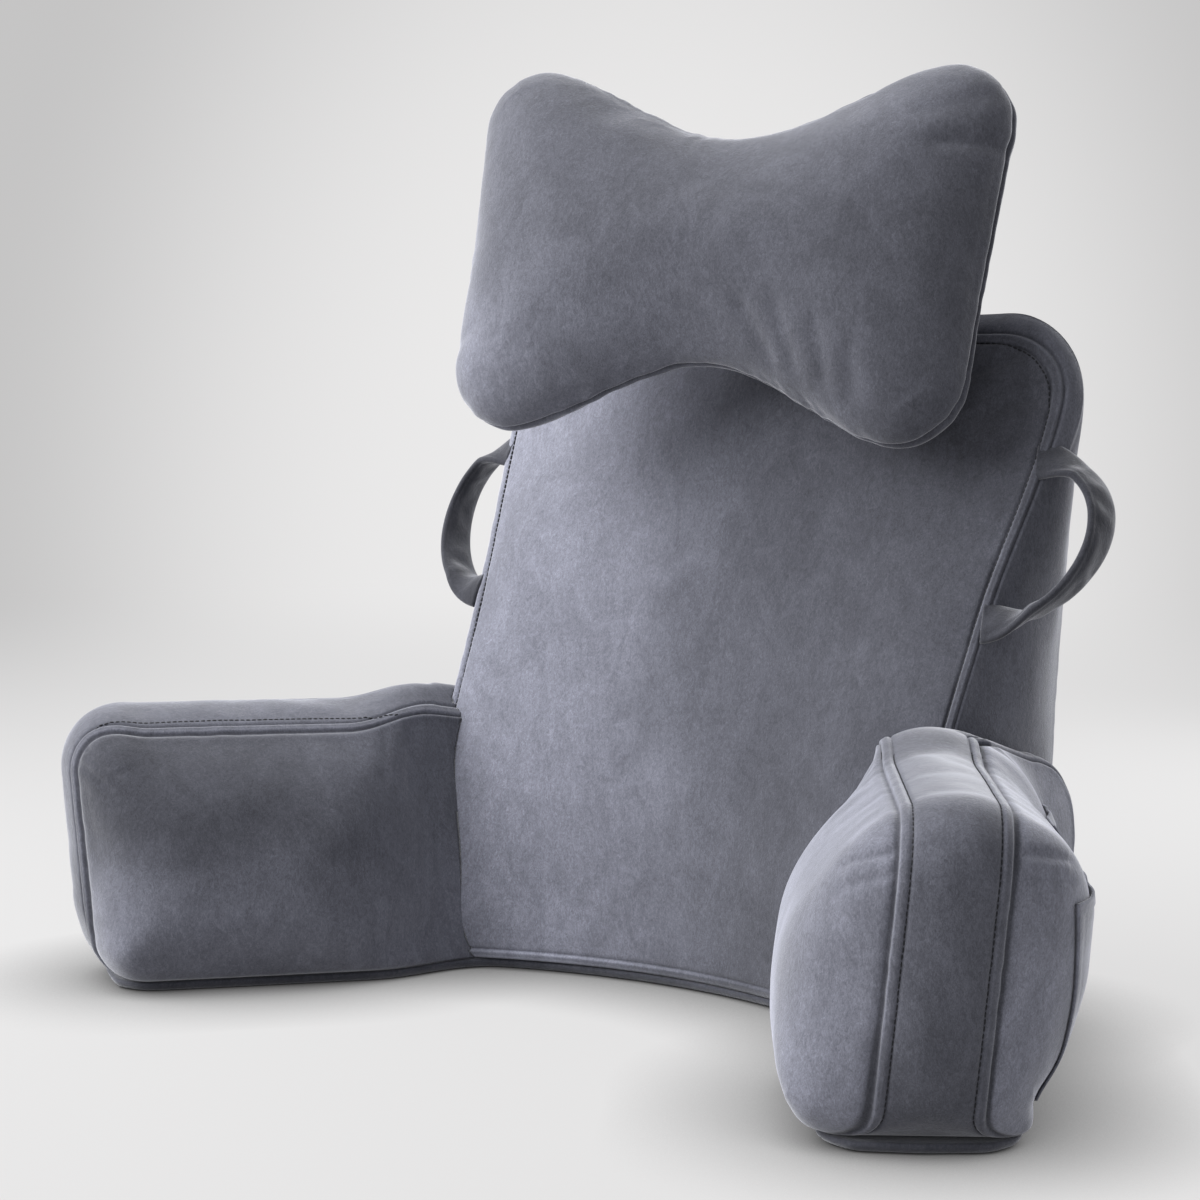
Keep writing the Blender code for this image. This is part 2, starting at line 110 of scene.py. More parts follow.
# Along the arm, height and corner radius of the side panels' outline
ARM_OUTLINE = (
    {"u": ARM_LENGTH - 0.016, "z": 0.0, "radius": 0.030},
    {"u": ARM_LENGTH, "z": ARM_SEAM_HEIGHT + 0.001, "radius": 0.042},
    {"u": 0.020, "z": ARM_SEAM_HEIGHT, "radius": 0.200},
    {"u": ARM_REAR, "z": 0.176, "radius": 0.040},
    {"u": ARM_REAR, "z": 0.0, "radius": 0.010},
)

# Base panel
BASE_HEIGHT = 0.0080
BASE_FRONT_HALF = 0.17
BASE_POINTS = 720
BASE_ROUNDS = 6
# Its rim from bottom to top: share of the height, and how far it lies past the seam, below 0 for short of it
BASE_RIM = ((0.0, -0.0105), (0.03, -0.0070), (0.18, -0.0038), (0.42, -0.0016), (0.67, -0.0006),
            (0.85, -0.0008), (0.93, -0.0018), (0.95, -0.0040))
BASE_CRIMP = 0.0007
BASE_CRIMP_WAVES = 70
# How far the base seam's front stays behind the arms' tips, and its rear corners behind the arms and the back
BASE_FRONT_INSET = 0.028
BASE_REAR_INSET = 0.012
BASE_BACK_INSET = 0.010
# How far every piece keeps from the next
CLEARANCE = 0.0004

# Neck pillow
NECK_BULGE = 0.012
NECK_ROLL_WIDTH = 0.060
NECK_HALF_WIDTH = 0.208
NECK_END_HALF = 0.142
NECK_WAIST_HALF = 0.086
NECK_CORNER_RADIUS = 0.050
NECK_FLARE = 0.030
NECK_THICKNESS = 0.104
NECK_CENTRE = (0.012, 0.0680, 0.561)
NECK_YAW = math.radians(14.0)
NECK_LEAN = math.radians(17.0)
NECK_ROLL = math.radians(2.0)
# Share of the pillow's half width over which it narrows to its waist
NECK_WAIST_REACH = 0.84
NECK_CELLS = (52, 80)
NECK_EDGE = 0.11

# Handles
HANDLE_WIDTH = 0.031
HANDLE_THICKNESS = 0.009
HANDLE_REACH = 0.064
HANDLE_TOP_Z = 0.408
HANDLE_BOTTOM_Z = 0.294
# Which way a loop stands out, which way its side seam runs, how deep its ends are sewn in, and their twist
HANDLE_OUT = (0.96, 0.28, 0.0)
HANDLE_ALONG = (0.0, 0.45, 1.0)
HANDLE_ROOT_INSET = 0.008
HANDLE_TWIST = 0.55
HANDLE_STEPS = 96
HANDLE_SIDES = 28
# Below 1, a rounder edge and a flatter face
HANDLE_EDGE_POWER = 0.72
HANDLE_FACE_POWER = 0.85
HANDLE_CREASE = 0.45
# How far the handle's own seam is from its middle, and the groove's width and depth
HANDLE_SEAM = 0.0105
HANDLE_SEAM_WIDTH = 0.0011
HANDLE_SEAM_DEPTH = 0.0009

# Pockets on the right arm's outer side
POCKET_BOTTOM = 0.024
POCKET_CELLS = 56
POCKET_ROUNDS = 10
POCKET_CLOTH = 0.0012
# How far the cloth lies off the arm, its slack, and the height and number of its soft folds
POCKET_LIFT = 0.0007
POCKET_SLACK = 0.0004
POCKET_FOLD = 0.0012
POCKET_FOLD_TURNS = 19.0
# The hem's width, how much it is thicker, and its stitched groove's depth and width
POCKET_HEM = 0.010
POCKET_HEM_RISE = 0.0006
POCKET_HEM_GROOVE = 0.0007
POCKET_HEM_STITCH = 0.0012
# Painted light on the pocket's outside and painted shade on its inside; across its edge a painted highlight,
# and painted shade in the hem's stitched groove, as centre, width and height
POCKET_PAINTED_LIGHT = 1.45
POCKET_PAINTED_SHADE_INSIDE = 0.5
POCKET_EDGE_PAINTED_HIGHLIGHT = (0.0, 0.0016, 0.35)
POCKET_STITCH_PAINTED_SHADE = (POCKET_HEM, 0.0014, -0.60)
POCKETS = (
    {"name": "pocket_front", "u_rear": 0.096, "u_front": 0.256, "u_foot": 0.222, "top": 0.153},
    {"name": "pocket_rear", "u_rear": 0.000, "u_front": 0.094, "u_foot": 0.094, "top": 0.172},
)

# How far topstitching is from its seam, and its stitches' pitch, length, radius, flatness and depth
TOPSTITCH = 0.0080
STITCH_PITCH = 0.0044
STITCH_LENGTH = 0.0034
STITCH_WIDTH = 0.00075
STITCH_FLATNESS = 0.8
STITCH_SUNK = 0.0001
STITCH_SIDES = 6
# Where the topstitching runs: above this height on the back, and on an arm's front and top
BACK_STITCHED_FROM = 0.02
ARM_STITCHED_FRONT = 0.06
ARM_STITCHED_LOW = 0.016
ARM_STITCHED_HIGH = 0.15
ARM_STITCHED_INNER = 0.02
ARM_STITCHED_OUTER = -0.10
# Along a stitch, where its rings are and how wide
STITCH_RINGS = ((-0.5, 0.45), (-0.3, 1.0), (0.3, 1.0), (0.5, 0.45))

# How nearly a panel's rounded edge is a quarter circle, which would be 1, and how often that is evened out
FILL_ROUNDNESS = 0.94
FILL_ROUNDS = 8
# Below 1, cloth that stands out past its seam does so mostly near the seam
BULGE_LEAN = 0.6

# Distances from a seam at which a panel or a boxing has rows of points
BAND_ROWS = (0.0011, 0.0026, 0.0045, 0.0064, 0.0078, 0.0092, 0.0125, 0.0170)

# Cloth simulation: its settings, its frames, and how often neighbours' movements are evened out after it
CLOTH_SETTINGS = {
    "quality": 3,
    "mass": 0.3,
    "vertex_group_mass": "held",
    "tension_stiffness": 25,
    "compression_stiffness": 25,
    "shear_stiffness": 8,
    "bending_stiffness": 0.6,
    "use_pressure": True,
    "uniform_pressure_force": 4.0,
}
CLOTH_FRAMES = 16
CALM_ROUNDS = 12
# What is held: the band beside a seam, the low points above the base seam, and the arms' roots
HELD_BAND = 0.0080
HELD_FOOT = 0.004
HELD_NECK = 0.0015
ARM_HELD_ROOT = 0.012
# For each pad, how far a point may move and by how much the cloth is larger than the pad
BACK_FILLING = {"cap": 0.009, "ease": 0.012}
ARM_FILLING = {"cap": 0.008, "ease": 0.008}
NECK_FILLING = {"cap": 0.010, "ease": 0.012}

# A point this near a seam is on it
SEAM_REACH = 0.0005
# Across a seam, the centre, width and height of each rise (above 0) or groove (below 0)
SEAM_GROOVE = (0.0, 0.0011, -0.0018)
SEAM_ROLL = (0.0028, 0.0022, 0.0004)
SEAM_BAND = ((0.0024, 0.0014, 0.0009), (0.0052, 0.0019, 0.0012), (0.0080, 0.0009, -0.0013))
# The same for painted light and shade: painted highlights on the band's raised edges, painted shade in the
# grooves
SEAM_GROOVE_PAINTED_SHADE = (0.0, 0.0008, -0.38)
SEAM_BAND_PAINTED_LIGHT_AND_SHADE = ((0.0020, 0.0009, 0.45), (0.0065, 0.0008, 0.30), (0.0081, 0.0007, -0.28))

# Folds laid after the photograph: side, from, to, width and depth. The places are (x, z) on the
# fronts (side -1) of the back and the neck pillow, and (u, z) on an arm's inner (-1) and outer (1) panel
BACK_FOLDS = (
    (-1, (0.215, 0.486), (0.150, 0.455), 0.007, 0.0035),
    (-1, (0.225, 0.470), (0.185, 0.420), 0.009, 0.0020),
    (-1, (0.236, 0.455), (0.205, 0.445), 0.006, 0.0025),
    (-1, (-0.215, 0.486), (-0.150, 0.455), 0.007, 0.0035),
    (-1, (-0.225, 0.470), (-0.185, 0.420), 0.006, 0.0025),
    (-1, (0.190, 0.060), (0.215, 0.190), 0.012, 0.0040),
    (-1, (0.160, 0.040), (0.180, 0.120), 0.010, 0.0022),
)
ARM_FOLDS = (
    (-1, (0.285, 0.190), (0.250, 0.174), 0.0036, 0.0020),
    (-1, (0.286, 0.176), (0.258, 0.160), 0.0032, 0.0013),
    (1, (0.285, 0.190), (0.250, 0.178), 0.0036, 0.0020),
    (1, (0.286, 0.176), (0.256, 0.166), 0.0032, 0.0014),
    (-1, (0.020, 0.200), (0.028, 0.140), 0.006, 0.0012),
    (-1, (0.045, 0.202), (0.050, 0.160), 0.005, 0.0010),
)
NECK_FOLDS = (
    (-1, (0.070, -0.088), (0.035, -0.045), 0.006, 0.0028),
    (-1, (0.090, -0.095), (0.065, -0.045), 0.006, 0.0026),
    (-1, (0.115, -0.105), (0.100, -0.060), 0.006, 0.0024),
    (-1, (0.135, -0.115), (0.130, -0.075), 0.006, 0.0022),
    (-1, (0.208, 0.080), (0.165, 0.070), 0.006, 0.0034),
    (-1, (0.200, 0.110), (0.150, 0.090), 0.007, 0.0018),
    (-1, (-0.120, 0.120), (-0.060, 0.080), 0.008, 0.0016),
    (-1, (-0.150, 0.130), (-0.090, 0.085), 0.008, 0.0016),
    (-1, (-0.205, -0.090), (-0.170, -0.070), 0.006, 0.0016),
)

# Relief on the settled cloth: the seam's band and its side, the gathers that run out from it (their wave,
# height and reach), the share of the folds' depth, and the slow unevenness (its height, its waves and how far
# from the seam it begins)
BACK_RELIEF = {
    "band": -1.0, "stitched": True, "wave": 0.012, "gather": 0.0007, "reach": 0.010, "seed": 4.0,
    "folds": BACK_FOLDS, "fold": 1.0, "uneven": 0.0007, "waves": 9.0,
    "uneven_from": 0.02, "uneven_seed": 2.0,
}
ARM_RELIEF = {
    "band": 1.0, "stitched": True, "wave": 0.013, "gather": 0.0007, "reach": 0.010, "seed": 7.0,
    "folds": ARM_FOLDS, "fold": 1.0, "uneven": 0.0008, "waves": 11.0,
    "uneven_from": 0.02, "uneven_seed": 5.0,
}
NECK_RELIEF = {
    "band": 1.0, "stitched": False, "wave": 0.011, "gather": 0.0014, "reach": 0.012, "seed": 3.0,
    "folds": NECK_FOLDS, "fold": 0.75, "uneven": 0.0009, "waves": 10.0,
    "uneven_from": 0.03, "uneven_seed": 1.0,
}

# Painted light and shade on each panel, as colour factors (above 1 painted light, below 1 painted shade), and
# the places between which that changes
BACK_PAINTED_LIGHT_LEFT = 1.85
BACK_PAINTED_SHADE_RIGHT = 0.75
BACK_PAINTED_SHADING_X = (-0.16, 0.10)
BACK_PAINTED_LIGHT_FOOT = 0.26
BACK_PAINTED_LIGHT_FOOT_Z = (0.10, 0.26)
ARM_PAINTED_LIGHT_INNER = 1.45
ARM_PAINTED_SHADE_LEFT_TOP = -0.45
ARM_PAINTED_SHADE_LEFT_TIP = -0.40
ARM_PAINTED_SHADE_LEFT_U = (0.02, 0.16)
ARM_PAINTED_SHADE_LEFT_Z = (0.045, 0.14)
ARM_PAINTED_LIGHT_RIGHT_FOOT = 0.40
ARM_PAINTED_LIGHT_RIGHT_Z = (0.03, 0.10)
ARM_PAINTED_LIGHT_OUTER = 1.80
ARM_PAINTED_SHADE_STRIP_LOW = 0.75
ARM_PAINTED_SHADE_STRIP_Z = (0.05, 0.14)
NECK_PAINTED_SHADE = 0.80
NECK_PAINTED_LIGHT_LOW_LEFT = 0.60
NECK_PAINTED_LIGHT_Z = (0.50, 0.62)
NECK_PAINTED_LIGHT_X = (-0.12, 0.08)

# Blender's noise times this lies between about -1 and 1
NOISE_SPREAD = 1.6
# A trough is this deep along this share of its length, and then fades over this share
TROUGH_FULL = 0.55
TROUGH_FADE = 0.22
# Height over which relief fades out above the base seam
FOOT_FADE = 0.006


def smooth_step(low, high, value):
    share = min(max((value - low) / (high - low), 0.0), 1.0)
    return share * share * (3.0 - 2.0 * share)


def read_profile(rows, column, z):
    """A row table's column at height z, on a curve through the rows."""
    heights = [row["z"] for row in rows]
    values = [row[column] for row in rows]
    z = min(max(z, heights[0]), heights[-1])
    index = max(i for i in range(len(rows) - 1) if heights[i] <= z)
    slopes = []
    for i in (index, index + 1):
        before, after = max(i - 1, 0), min(i + 1, len(rows) - 1)
        slopes.append((values[after] - values[before]) / (heights[after] - heights[before]))
    span = heights[index + 1] - heights[index]
    t = (z - heights[index]) / span
    return (
        (2 * t**3 - 3 * t**2 + 1) * values[index]
        + (t**3 - 2 * t**2 + t) * span * slopes[0]
        + (3 * t**2 - 2 * t**3) * values[index + 1]
        + (t**3 - t**2) * span * slopes[1]
    )


def fill_share(t):
    """How full a filled panel is, from 1 in its middle at t = 0 to 0 on its seam at t = 1."""
    seam = math.sqrt(1.0 - FILL_ROUNDNESS)
    return (math.sqrt(1.0 - FILL_ROUNDNESS * t * t) - seam) / (1.0 - seam)


def rounded_corners(corners, arc_steps=16):
    """A closed line through counterclockwise corners (a, b, radius), and each corner's index in it."""
    dense, marks = [], []
    for i, (a, b, radius) in enumerate(corners):
        corner = Vector((a, b))
        to_last = (Vector(corners[i - 1][:2]) - corner).normalized()
        to_next = (Vector(corners[(i + 1) % len(corners)][:2]) - corner).normalized()
        half = to_last.angle(to_next) / 2
        centre = corner + (to_last + to_next).normalized() * (radius / math.sin(half))
        spoke = corner + to_last * (radius / math.tan(half)) - centre
        turn = math.pi - 2 * half
        marks.append(len(dense) + arc_steps // 2)
        for k in range(arc_steps + 1):
            cosine, sine = math.cos(turn * k / arc_steps), math.sin(turn * k / arc_steps)
            turned = (spoke.x * cosine - spoke.y * sine, spoke.x * sine + spoke.y * cosine)
            dense.append((centre.x + turned[0], centre.y + turned[1]))
    return np.array(dense), marks


def evenly(line, count):
    """Evenly spaced points along a line, without its end."""
    along = np.concatenate([[0.0], np.cumsum(np.linalg.norm(np.diff(line, axis=0), axis=1))])
    wanted = np.linspace(0.0, along[-1], count + 1)[:-1]
    return np.stack([np.interp(wanted, along, line[:, k]) for k in (0, 1)], axis=1)


def four_sides(dense, marks, first_count, second_count):
    """Evenly spaced points along the closed line's four sides between four marks."""
    pieces = []
    for i, count in enumerate((first_count, second_count, first_count, second_count)):
        start, end = marks[i], marks[(i + 1) % 4]
        stretch = dense[start:end + 1] if end > start else np.vstack([dense[start:], dense[:end + 1]])
        pieces.append(evenly(stretch, count))
    return np.vstack(pieces)


def seam_normals(line):
    """The outward normals of a counterclockwise closed line."""
    along = np.roll(line, -1, axis=0) - np.roll(line, 1, axis=0)
    normals = np.stack([along[:, 1], -along[:, 0]], axis=1)
    return normals / np.linalg.norm(normals, axis=1)[:, None]


def distance_to_line(points, line):
    """How far each point is from a closed line."""
    a, b = line, np.roll(line, -1, axis=0)
    step = b - a
    share = np.einsum("pik,ik->pi", points[:, None, :] - a[None], step) / np.einsum("ik,ik->i", step, step)
    nearest = a[None] + np.clip(share, 0.0, 1.0)[..., None] * step[None]
    return np.linalg.norm(points[:, None, :] - nearest, axis=2).min(axis=1)


def patch(ring, first_count, second_count):
    """Points inside a ring of four sides, as a grid that includes the ring's own points."""
    count = len(ring)
    grid = np.zeros((first_count + 1, second_count + 1, 2))
    c0, c1 = ring[0], ring[first_count]
    c2, c3 = ring[first_count + second_count], ring[2 * first_count + second_count]
    for i in range(first_count + 1):
        for j in range(second_count + 1):
            u, v = i / first_count, j / second_count
            sides = (1 - v) * ring[i] + v * ring[2 * first_count + second_count - i]
            sides = sides + (1 - u) * ring[(count - j) % count] + u * ring[first_count + j]
            corners = (1 - u) * ((1 - v) * c0 + v * c3) + u * ((1 - v) * c1 + v * c2)
            grid[i, j] = sides - corners
    return grid


def add_object(name, data):
    made = bpy.data.objects.new(name, data)
    bpy.context.scene.collection.objects.link(made)
    return made


def closed_mesh(name, points, faces):
    """A closed mesh with its faces turned outward."""
    mesh = bpy.data.meshes.new(name)
    mesh.from_pydata([tuple(p) for p in points], [], faces)
    work = bmesh.new()
    work.from_mesh(mesh)
    bmesh.ops.triangulate(work, faces=[f for f in work.faces if len(f.verts) > 4])
    bmesh.ops.recalc_face_normals(work, faces=work.faces)
    if work.calc_volume(signed=True) < 0:
        bmesh.ops.reverse_faces(work, faces=work.faces)
    work.to_mesh(mesh)
    work.free()
    return mesh


class SewnPad:
    """A pad of two panels on one outline, with or without a boxing between them."""

    def __init__(self, line, first_count, second_count, edge):
        self.line = line
        self.counts = (first_count, second_count)
        self.edge = edge
        self.normals = seam_normals(line)
        low, high = line.min(axis=0), line.max(axis=0)
        self.middle, self.half = (low + high) / 2, (high - low) / 2
        steps = np.linalg.norm(np.roll(line, -1, axis=0) - line, axis=1)
        self.arc = np.concatenate([[0.0], np.cumsum(steps)])[:-1]
        self.length = steps.sum()
        # How far the filled cloth stands out past the seam, and how wide that roll is
        self.bulge, self.roll = 0.0, 0.05
        self.side_of = {}
        self.points, self.faces = [], []
        # For each point: signed distance from the seam, place along the seam, and place on the panel
        self.lateral, self.along, self.flat = [], [], []

    def add(self, place, lateral, along, flat):
        self.points.append(place)
        self.lateral.append(lateral)
        self.along.append(along)
        self.flat.append(tuple(flat))
        return len(self.points) - 1

    def fill_at(self, inset):
        return fill_share(1.0 - min(inset / self.edge, 1.0))

    def bulged(self, point, index, inset):
        share = min(inset / self.roll, 1.0)
        bulge = self.bulge * math.sin(math.pi * share**BULGE_LEAN) * (1 - share)
        return point + self.normals[index] * bulge

    def seam(self, place):
        """The pad's outline as a seam; place(point, fill) gives a point in space."""
        return [self.add(place(p, 0.0), 0.0, i, p) for i, p in enumerate(self.line)]

    def panel(self, seam, place, flip, side):
        """One panel inside the seam's points, which side -1 or 1 names."""
        count, start = len(self.line), len(self.points)
        rings = [seam]
        for inset in BAND_ROWS:
            shrink = 1.0 - inset / self.half
            ring_line = self.middle + (self.line - self.middle) * shrink
            depths = distance_to_line(ring_line, self.line)
            ring = []
            for i in range(count):
                point = place(self.bulged(ring_line[i], i, depths[i]), self.fill_at(depths[i]))
                ring.append(self.add(point, -depths[i], i, ring_line[i]))
            rings.append(ring)
        for near, far in zip(rings, rings[1:]):
            self.band(near, far, flip)
        first_count, second_count = self.counts
        grid = patch(ring_line, first_count, second_count)
        inner = grid[1:-1, 1:-1].reshape(-1, 2)
        depths = distance_to_line(inner, self.line).reshape(first_count - 1, second_count - 1)
        fills = np.vectorize(self.fill_at)(depths)
        for _ in range(FILL_ROUNDS):
            middle = fills.copy()
            middle[1:-1, 1:-1] = (fills[:-2, 1:-1] + fills[2:, 1:-1] + fills[1:-1, :-2] + fills[1:-1, 2:]) / 4
            fills = middle
        index = np.zeros((first_count + 1, second_count + 1), dtype=int)
        ring = rings[-1]
        for i in range(first_count + 1):
            index[i, 0] = ring[i]
            index[i, second_count] = ring[2 * first_count + second_count - i]
        for j in range(second_count + 1):
            index[0, j] = ring[(count - j) % count]
            index[first_count, j] = ring[first_count + j]
        nearest = np.argmin(((inner[:, None, :] - self.line[None]) ** 2).sum(axis=2), axis=1)
        nearest = nearest.reshape(first_count - 1, second_count - 1)
        for i in range(1, first_count):
            for j in range(1, second_count):
                fill, depth = fills[i - 1, j - 1], depths[i - 1, j - 1]
                close = int(nearest[i - 1, j - 1])
                point = place(self.bulged(grid[i, j], close, depth), fill)
                index[i, j] = self.add(point, -depth, close, grid[i, j])
        for i in range(first_count):
            for j in range(second_count):
                face = (index[i, j], index[i + 1, j], index[i + 1, j + 1], index[i, j + 1])
                self.faces.append(face[::-1] if flip else face)
        self.side_of.update(dict.fromkeys(range(start, len(self.points)), side))

    def band(self, near, far, flip):
        count = len(near)
        for i in range(count):
            k = (i + 1) % count
            face = (near[i], near[k], far[k], far[i])
            self.faces.append(face[::-1] if flip else face)

    def boxing(self, front, rear, place, pitch, rows=BAND_ROWS):
        """Rows of points between the two seams; place(i, share) gives a point in space."""
        count = len(self.line)
        width = [(self.points[a] - self.points[b]).length for a, b in zip(rear, front)]
        last = rows[-1]
        middle_count = max(int(round((max(width) - 2 * last) / pitch)), 2)
        previous = front
        laterals = []
        for i in range(count):
            inner = [last + (width[i] - 2 * last) * k / middle_count for k in range(1, middle_count)]
            laterals.append(list(rows) + inner + [width[i] - d for d in reversed(rows)])
        for k in range(len(laterals[0])):
            ring = []
            for i in range(count):
                across = laterals[i][k]
                near = min(across, width[i] - across)
                flat = self.line[i] + self.normals[i] * near
                ring.append(self.add(place(i, across / width[i]), near, i, flat))
            self.band(ring, previous, False)
            previous = ring
        self.band(rear, previous, False)

    def build(self, name):
        mesh = closed_mesh(name, self.points, self.faces)
        angle = 2 * math.pi * self.arc / self.length
        columns = {
            "lateral": np.array(self.lateral),
            "round_x": np.cos(angle)[self.along],
            "round_y": np.sin(angle)[self.along],
            "flat_x": np.array([p[0] for p in self.flat]),
            "flat_y": np.array([p[1] for p in self.flat]),
            "side": np.array([self.side_of.get(i, 0.0) for i in range(len(self.points))]),
        }
        for key, values in columns.items():
            mesh.attributes.new(key, "FLOAT", "POINT").data.foreach_set("value", values.astype(np.float32))
        return add_object(name, mesh)


def read_values(data, key, width=1):
    values = np.empty(len(data) * width, dtype=np.float32)
    data.foreach_get(key, values)
    return values.astype(float)


def positions(mesh):
    return read_values(mesh.vertices, "co", 3).reshape(-1, 3)


def set_positions(mesh, values):
    mesh.vertices.foreach_set("co", values.astype(np.float32).ravel())
    mesh.update()


def normals_of(mesh):
    return read_values(mesh.vertex_normals, "vector", 3).reshape(-1, 3)


def column(mesh, key):
    return read_values(mesh.attributes[key].data, "value")


def low_points(mesh):
    return positions(mesh)[:, 2] < BASE_HEIGHT + HELD_FOOT


def calmed(mesh, moved, rounds):
    """The cloth's movement with its shortest waves taken out."""
    edges = np.empty(len(mesh.edges) * 2, dtype=np.int32)
    mesh.edges.foreach_get("vertices", edges)
    a, b = edges.reshape(-1, 2).T
    count = np.bincount(edges, minlength=len(moved))[:, None]
    for _ in range(rounds):
        around = [np.bincount(a, m[b], len(m)) + np.bincount(b, m[a], len(m)) for m in moved.T]
        moved = (moved + np.stack(around, axis=1) / count) / 2
    return moved


def fill_with_cloth(piece, held, cap, ease):
    """Blow the pad up as cloth with the held points kept in place, and say how far each point moved."""
    start = positions(piece.data)
    group = piece.vertex_groups.new(name="held")
    group.add([int(i) for i in np.flatnonzero(held)], 1.0, "REPLACE")
    cloth = piece.modifiers.new("filling", "CLOTH")
    for key, value in CLOTH_SETTINGS.items():
        setattr(cloth.settings, key, value)
    cloth.settings.shrink_min = -ease
    cloth.settings.effector_weights.gravity = 0
    cloth.collision_settings.use_collision = False
    cloth.collision_settings.use_self_collision = False
    cloth.point_cache.frame_start = 1
    cloth.point_cache.frame_end = CLOTH_FRAMES
    scene = bpy.context.scene
    for number in range(1, CLOTH_FRAMES + 1):
        scene.frame_set(number)
    shown = piece.evaluated_get(bpy.context.evaluated_depsgraph_get())
    moved = positions(shown.data) - start
    piece.modifiers.remove(cloth)
    scene.frame_set(1)
    far = np.linalg.norm(moved, axis=1)
    moved *= (cap * np.tanh(far / cap) / np.maximum(far, 1e-9))[:, None]
    moved = calmed(piece.data, moved, CALM_ROUNDS)
    moved[held] = 0.0
    set_positions(piece.data, start + moved)
    return moved


def apply_modifier(piece, modifier):
    """Give the piece the mesh that its modifier makes."""
    graph = bpy.context.evaluated_depsgraph_get()
    mesh = bpy.data.meshes.new_from_object(piece.evaluated_get(graph))
    piece.modifiers.remove(modifier)
    old = piece.data
    piece.data = mesh
    mesh.name = old.name
    bpy.data.meshes.remove(old)
    mesh.shade_smooth()


def subdivide(piece):
    smooth = piece.modifiers.new("smooth", "SUBSURF")
    smooth.levels = smooth.render_levels = 1
    apply_modifier(piece, smooth)


def bump_row(distance, centre, width, height):
    return height * np.exp(-(((distance - centre) / width) ** 2))


def seam_profile(lateral, band_sign, stitched):
    """Height over the cloth across a seam, with the raised, stitched band on the side called band_sign."""
    across = lateral * band_sign
    rows = SEAM_BAND if stitched else ()
    raised = sum(bump_row(across, *row) for row in rows)
    return bump_row(lateral, *SEAM_GROOVE) + bump_row(-across, *SEAM_ROLL) + raised


def seam_painted_shading(lateral, band_sign, stitched):
    """Painted light and shade across a seam: painted highlights on the band's edges, painted shade in the
    grooves.
    """
    rows = SEAM_BAND_PAINTED_LIGHT_AND_SHADE if stitched else ()
    return 1.0 + bump_row(lateral, *SEAM_GROOVE_PAINTED_SHADE) + sum(bump_row(lateral * band_sign, *r) for r in rows)


def line_noise(values, seed):
    """Smooth noise along a line, one wave for each unit, between about -1 and 1."""
    return np.array([noise.noise((float(v), seed, 0.37)) for v in values]) * NOISE_SPREAD


def space_noise(points, scale, seed):
    shift = Vector((seed * 3.1, seed * 1.7, seed * 5.3))
    return np.array([noise.noise(Vector(p) * scale + shift) for p in points.tolist()]) * NOISE_SPREAD


def puckers(mesh, length, wave, depth, reach, seed):
    """Small gathers that run out from the seam."""
    lateral = np.abs(column(mesh, "lateral"))
    around = np.arctan2(column(mesh, "round_y"), column(mesh, "round_x")) / (2 * math.pi) * length
    near = lateral < reach * 3.5
    height = np.zeros(len(lateral))
    strength = 0.5 + 0.5 * line_noise(around[near] / (wave * 5), seed + 9.0)
    height[near] = line_noise(around[near] / wave, seed) * np.exp(-lateral[near] / reach) * strength
    return height * depth


def troughs(mesh, rows):
    """Soft troughs laid between two points of a panel."""
    x, y = column(mesh, "flat_x"), column(mesh, "flat_y")
    side = column(mesh, "side")
    height = np.zeros(len(x))
    for panel, (ax, ay), (bx, by), width, depth in rows:
        dx, dy = bx - ax, by - ay
        length = math.hypot(dx, dy)
        along = ((x - ax) * dx + (y - ay) * dy) / length
        off = ((x - ax) * -dy + (y - ay) * dx) / length
        past = np.maximum(np.abs(along - length / 2) - length / 2 * TROUGH_FULL, 0)
        fade = np.exp(-((past / (length * TROUGH_FADE)) ** 2))
        height -= np.where(side * panel > 0.5, bump_row(off, 0.0, width, depth) * fade, 0.0)
    return height


def ramp(values, low, high):
    share = np.clip((values - low) / (high - low), 0.0, 1.0)
    return share * share * (3.0 - 2.0 * share)


def paint_shading(mesh, painted_shading):
    """Keep the painted light and shade at each point, a colour factor for the cloth's material."""
    kept = mesh.attributes.get("painted_shading") or mesh.attributes.new("painted_shading", "FLOAT", "POINT")
    kept.data.foreach_set("value", painted_shading.astype(np.float32))


def lay_relief(piece, pad, relief, seed=0.0):
    """Seams, small gathers, listed folds and unevenness over a settled pad, fading out at its foot."""
    mesh = piece.data
    lateral, places = column(mesh, "lateral"), positions(mesh)
    height = seam_profile(lateral, relief["band"], relief["stitched"])
    gather_seed = relief["seed"] + seed
    height += puckers(mesh, pad.length, relief["wave"], relief["gather"], relief["reach"], gather_seed)
    height += relief["fold"] * troughs(mesh, relief["folds"])
    uneven = relief["uneven"] * space_noise(places, relief["waves"], relief["uneven_seed"] + seed)
    height += uneven * np.clip(np.abs(lateral) / relief["uneven_from"], 0, 1)
    height *= np.clip((places[:, 2] - BASE_HEIGHT - CLEARANCE) / FOOT_FADE, 0.0, 1.0)
    set_positions(mesh, places + normals_of(mesh) * height[:, None])


def surface_tree(piece):
    mesh = piece.data
    mesh.calc_loop_triangles()
    corners = np.empty(len(mesh.loop_triangles) * 3, dtype=np.int32)
    mesh.loop_triangles.foreach_get("vertices", corners)
    points = [tuple(p) for p in positions(mesh)]
    return BVHTree.FromPolygons(points, [tuple(t) for t in corners.reshape(-1, 3).tolist()])


# Back rest

def back_seam_y(x, z):
    """Depth of the back's front face, before the filling puffs it out."""
    side = read_profile(BACK_PROFILE, "side_y", z)
    middle = read_profile(BACK_PROFILE, "middle_y", z)
    return MODEL_Y + middle + (side - middle) * min(abs(x) / BACK_HALF_WIDTH, 1.0) ** 2


